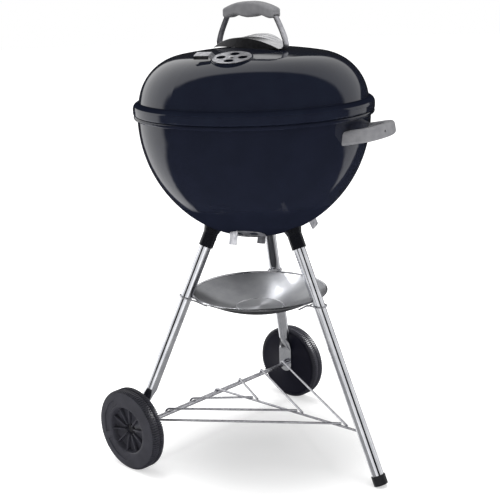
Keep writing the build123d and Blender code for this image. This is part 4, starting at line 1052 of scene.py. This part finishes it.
@dataclass(frozen=True)
class Studio:
    """Pale paper floor, white surround and softboxes.

    Lengths are in metres. The edges and the right span, where the mirrored light changes, are shares of a
    ray's direction. The floor shines by floor_lift, which grows over the distances of lift_span.
    """

    facing_deg: float = PhotoCamera.bearing_deg - 180.0
    target_height: float = 0.72
    surround_white: float = 1.0
    surround_fill: float = 0.8
    mirror_light: float = 1.1
    mirror_dark: float = 0.02
    side_edge: tuple[float, float] = (-0.22, -0.10)
    low_start: float = 0.3
    right_share: float = 0.65
    right_span: tuple[float, float] = (-0.3, 0.5)
    back_turn_deg: float = -10.0
    back_rise: float = 0.63
    back_edge: tuple[float, float] = (0.75, 0.79)
    floor_radius: float = 14.0
    floor_segments: int = 64
    floor_colour: str = "#d9d9d9"
    floor_roughness: float = 0.9
    floor_lift: tuple[float, float] = (0.24, 0.7)
    lift_span: tuple[float, float] = (0.12, 0.45)

    def bearing(self, turn_deg: float) -> tuple[float, float, float]:
        """Level direction at a turn from the camera's side of the kettle."""
        turn = math.radians(self.facing_deg + turn_deg)
        return math.cos(turn), math.sin(turn), 0.0

    def mirrored_light(self, tree: NodeTree) -> NodeSocket:
        """Adds the light that glossy surfaces mirror: bright behind and beside, dark in front.

        Args:
            tree: The surround's node tree.

        Returns:
            Output with the strength.
        """
        ray = add_node(tree, "ShaderNodeTexCoord").outputs["Generated"]
        along: dict[str, NodeSocket] = {}
        for name, turn in (("front", 0.0), ("right", 90.0), ("back", 180.0 + self.back_turn_deg)):
            product = add_node(
                tree, "ShaderNodeVectorMath", {0: ray, 1: self.bearing(turn)}, operation="DOT_PRODUCT"
            )
            along[name] = product.outputs["Value"]
        height = add_node(tree, "ShaderNodeSeparateXYZ", {0: ray}).outputs["Z"]
        raised = add_node(tree, "ShaderNodeMath", {0: height, 1: self.low_start}, operation="ADD").outputs[0]
        low = add_node(tree, "ShaderNodeMath", {0: raised, 1: 0.0}, operation="MINIMUM").outputs[0]
        reach = add_node(tree, "ShaderNodeMath", {0: along["front"], 1: low}, operation="SUBTRACT").outputs[0]
        level = add_node(tree, "ShaderNodeVectorMath", {0: ray, 1: LEVEL_PART}, operation="MULTIPLY")
        length = add_node(tree, "ShaderNodeVectorMath", {0: level.outputs[0]}, operation="LENGTH")
        level_share = {0: along["back"], 1: length.outputs["Value"]}
        turned = add_node(tree, "ShaderNodeMath", level_share, operation="DIVIDE").outputs[0]
        above = add_node(tree, "ShaderNodeMath", {0: height, 1: 0.0}, operation="MAXIMUM").outputs[0]
        fall = {0: above, 1: -self.back_rise, 2: turned}
        behind = add_node(tree, "ShaderNodeMath", fall, operation="MULTIPLY_ADD").outputs[0]
        spans = (
            (reach, self.side_edge, (self.mirror_light, self.mirror_dark)),
            (behind, self.back_edge, (1.0, self.mirror_dark)),
            (along["right"], self.right_span, (1.0, self.right_share)),
        )
        shares: list[NodeSocket] = []
        for value, (start, end), (first, last) in spans:
            span = {"Value": value, "From Min": start, "From Max": end, "To Min": first, "To Max": last}
            share = add_node(tree, "ShaderNodeMapRange", span, interpolation_type="SMOOTHSTEP")
            shares.append(share.outputs["Result"])
        light = shares[0]
        for share in shares[1:]:
            light = add_node(tree, "ShaderNodeMath", {0: light, 1: share}, operation="MULTIPLY").outputs[0]
        return light

    def surround(self) -> None:
        """White to the eye, a soft fill for the object, and bright only to the sides in its reflections."""
        world = bpy.data.worlds.new("studio_surround")
        world.use_nodes = True
        tree = world.node_tree
        path = add_node(tree, "ShaderNodeLightPath")
        gloss = {0: path.outputs["Is Glossy Ray"], 2: self.surround_fill, 3: self.mirrored_light(tree)}
        object_light = add_node(tree, "ShaderNodeMix", gloss, data_type="FLOAT").outputs[0]
        eye = {0: path.outputs["Is Camera Ray"], 2: object_light, 3: self.surround_white}
        strength = add_node(tree, "ShaderNodeMix", eye, data_type="FLOAT").outputs[0]
        tree.links.new(strength, tree.nodes["Background"].inputs["Strength"])
        tree.nodes["Background"].inputs["Color"].default_value = linear("#ffffff")
        bpy.context.scene.world = world

    def paper(self) -> Material:
        """Makes the floor's matt paper, lit up towards its edge and clear to the lamps and to gloss.

        Returns:
            The new material.
        """
        material = bpy.data.materials.new("matt_white_paper")
        material.use_nodes = True
        tree = material.node_tree
        paper = tree.nodes["Principled BSDF"]
        paper.inputs["Base Color"].default_value = linear(self.floor_colour)
        paper.inputs["Roughness"].default_value = self.floor_roughness
        paper.inputs["Specular IOR Level"].default_value = 0.0
        paper.inputs["Emission Color"].default_value = linear("#ffffff")
        place = add_node(tree, "ShaderNodeTexCoord").outputs["Object"]
        away = add_node(tree, "ShaderNodeVectorMath", {0: place}, operation="LENGTH").outputs["Value"]
        start, end = self.lift_span
        first, last = self.floor_lift
        span = {"Value": away, "From Min": start, "From Max": end, "To Min": first, "To Max": last}
        lift = add_node(tree, "ShaderNodeMapRange", span, interpolation_type="SMOOTHSTEP")
        tree.links.new(lift.outputs["Result"], paper.inputs["Emission Strength"])
        path = add_node(tree, "ShaderNodeLightPath")
        rays = {0: path.outputs["Is Glossy Ray"], 1: path.outputs["Is Shadow Ray"]}
        through = add_node(tree, "ShaderNodeMath", rays, operation="MAXIMUM").outputs[0]
        clear = add_node(tree, "ShaderNodeBsdfTransparent").outputs[0]
        mixed = add_node(tree, "ShaderNodeMixShader", {0: through, 1: paper.outputs[0], 2: clear})
        tree.links.new(mixed.outputs[0], tree.nodes["Material Output"].inputs["Surface"])
        return material

    def floor(self) -> None:
        """Lays the floor, a disc that reaches past the view."""
        mesh = bmesh.new()
        bmesh.ops.create_circle(mesh, cap_ends=True, radius=self.floor_radius, segments=self.floor_segments)
        data = bpy.data.meshes.new("floor")
        mesh.to_mesh(data)
        mesh.free()
        data.materials.append(self.paper())
        floor = bpy.data.objects.new("floor", data)
        bpy.context.scene.collection.objects.link(floor)

    def build(self) -> None:
        """Lays the floor and lights the scene."""
        low, high = CAD_BOUNDS
        bowl = middle("bowl_shell")
        target = Vector(((low[0] + high[0]) / 2, bowl.y, self.target_height))
        self.floor()
        for light in SOFTBOXES:
            light.build(target, self.facing_deg)
        self.surround()
        bpy.context.scene.view_settings.view_transform = "Standard"


def main() -> None:
    """Builds the pieces, dresses the CAD nodes and sets up the studio."""
    logging.basicConfig(level=logging.INFO, format="%(name)s: %(message)s")
    KettleDress().build()
    HandleStrap().build()
    HeatShield().build()
    PanBeads().build()
    for place in DAMPER_PLACES:
        DamperPlate(place).build()
    for side in SIDE_SIGN:
        MouldedWheel(side).build()
    PhotoCamera().build()
    Studio().build()


if __name__ == "__main__":
    main()
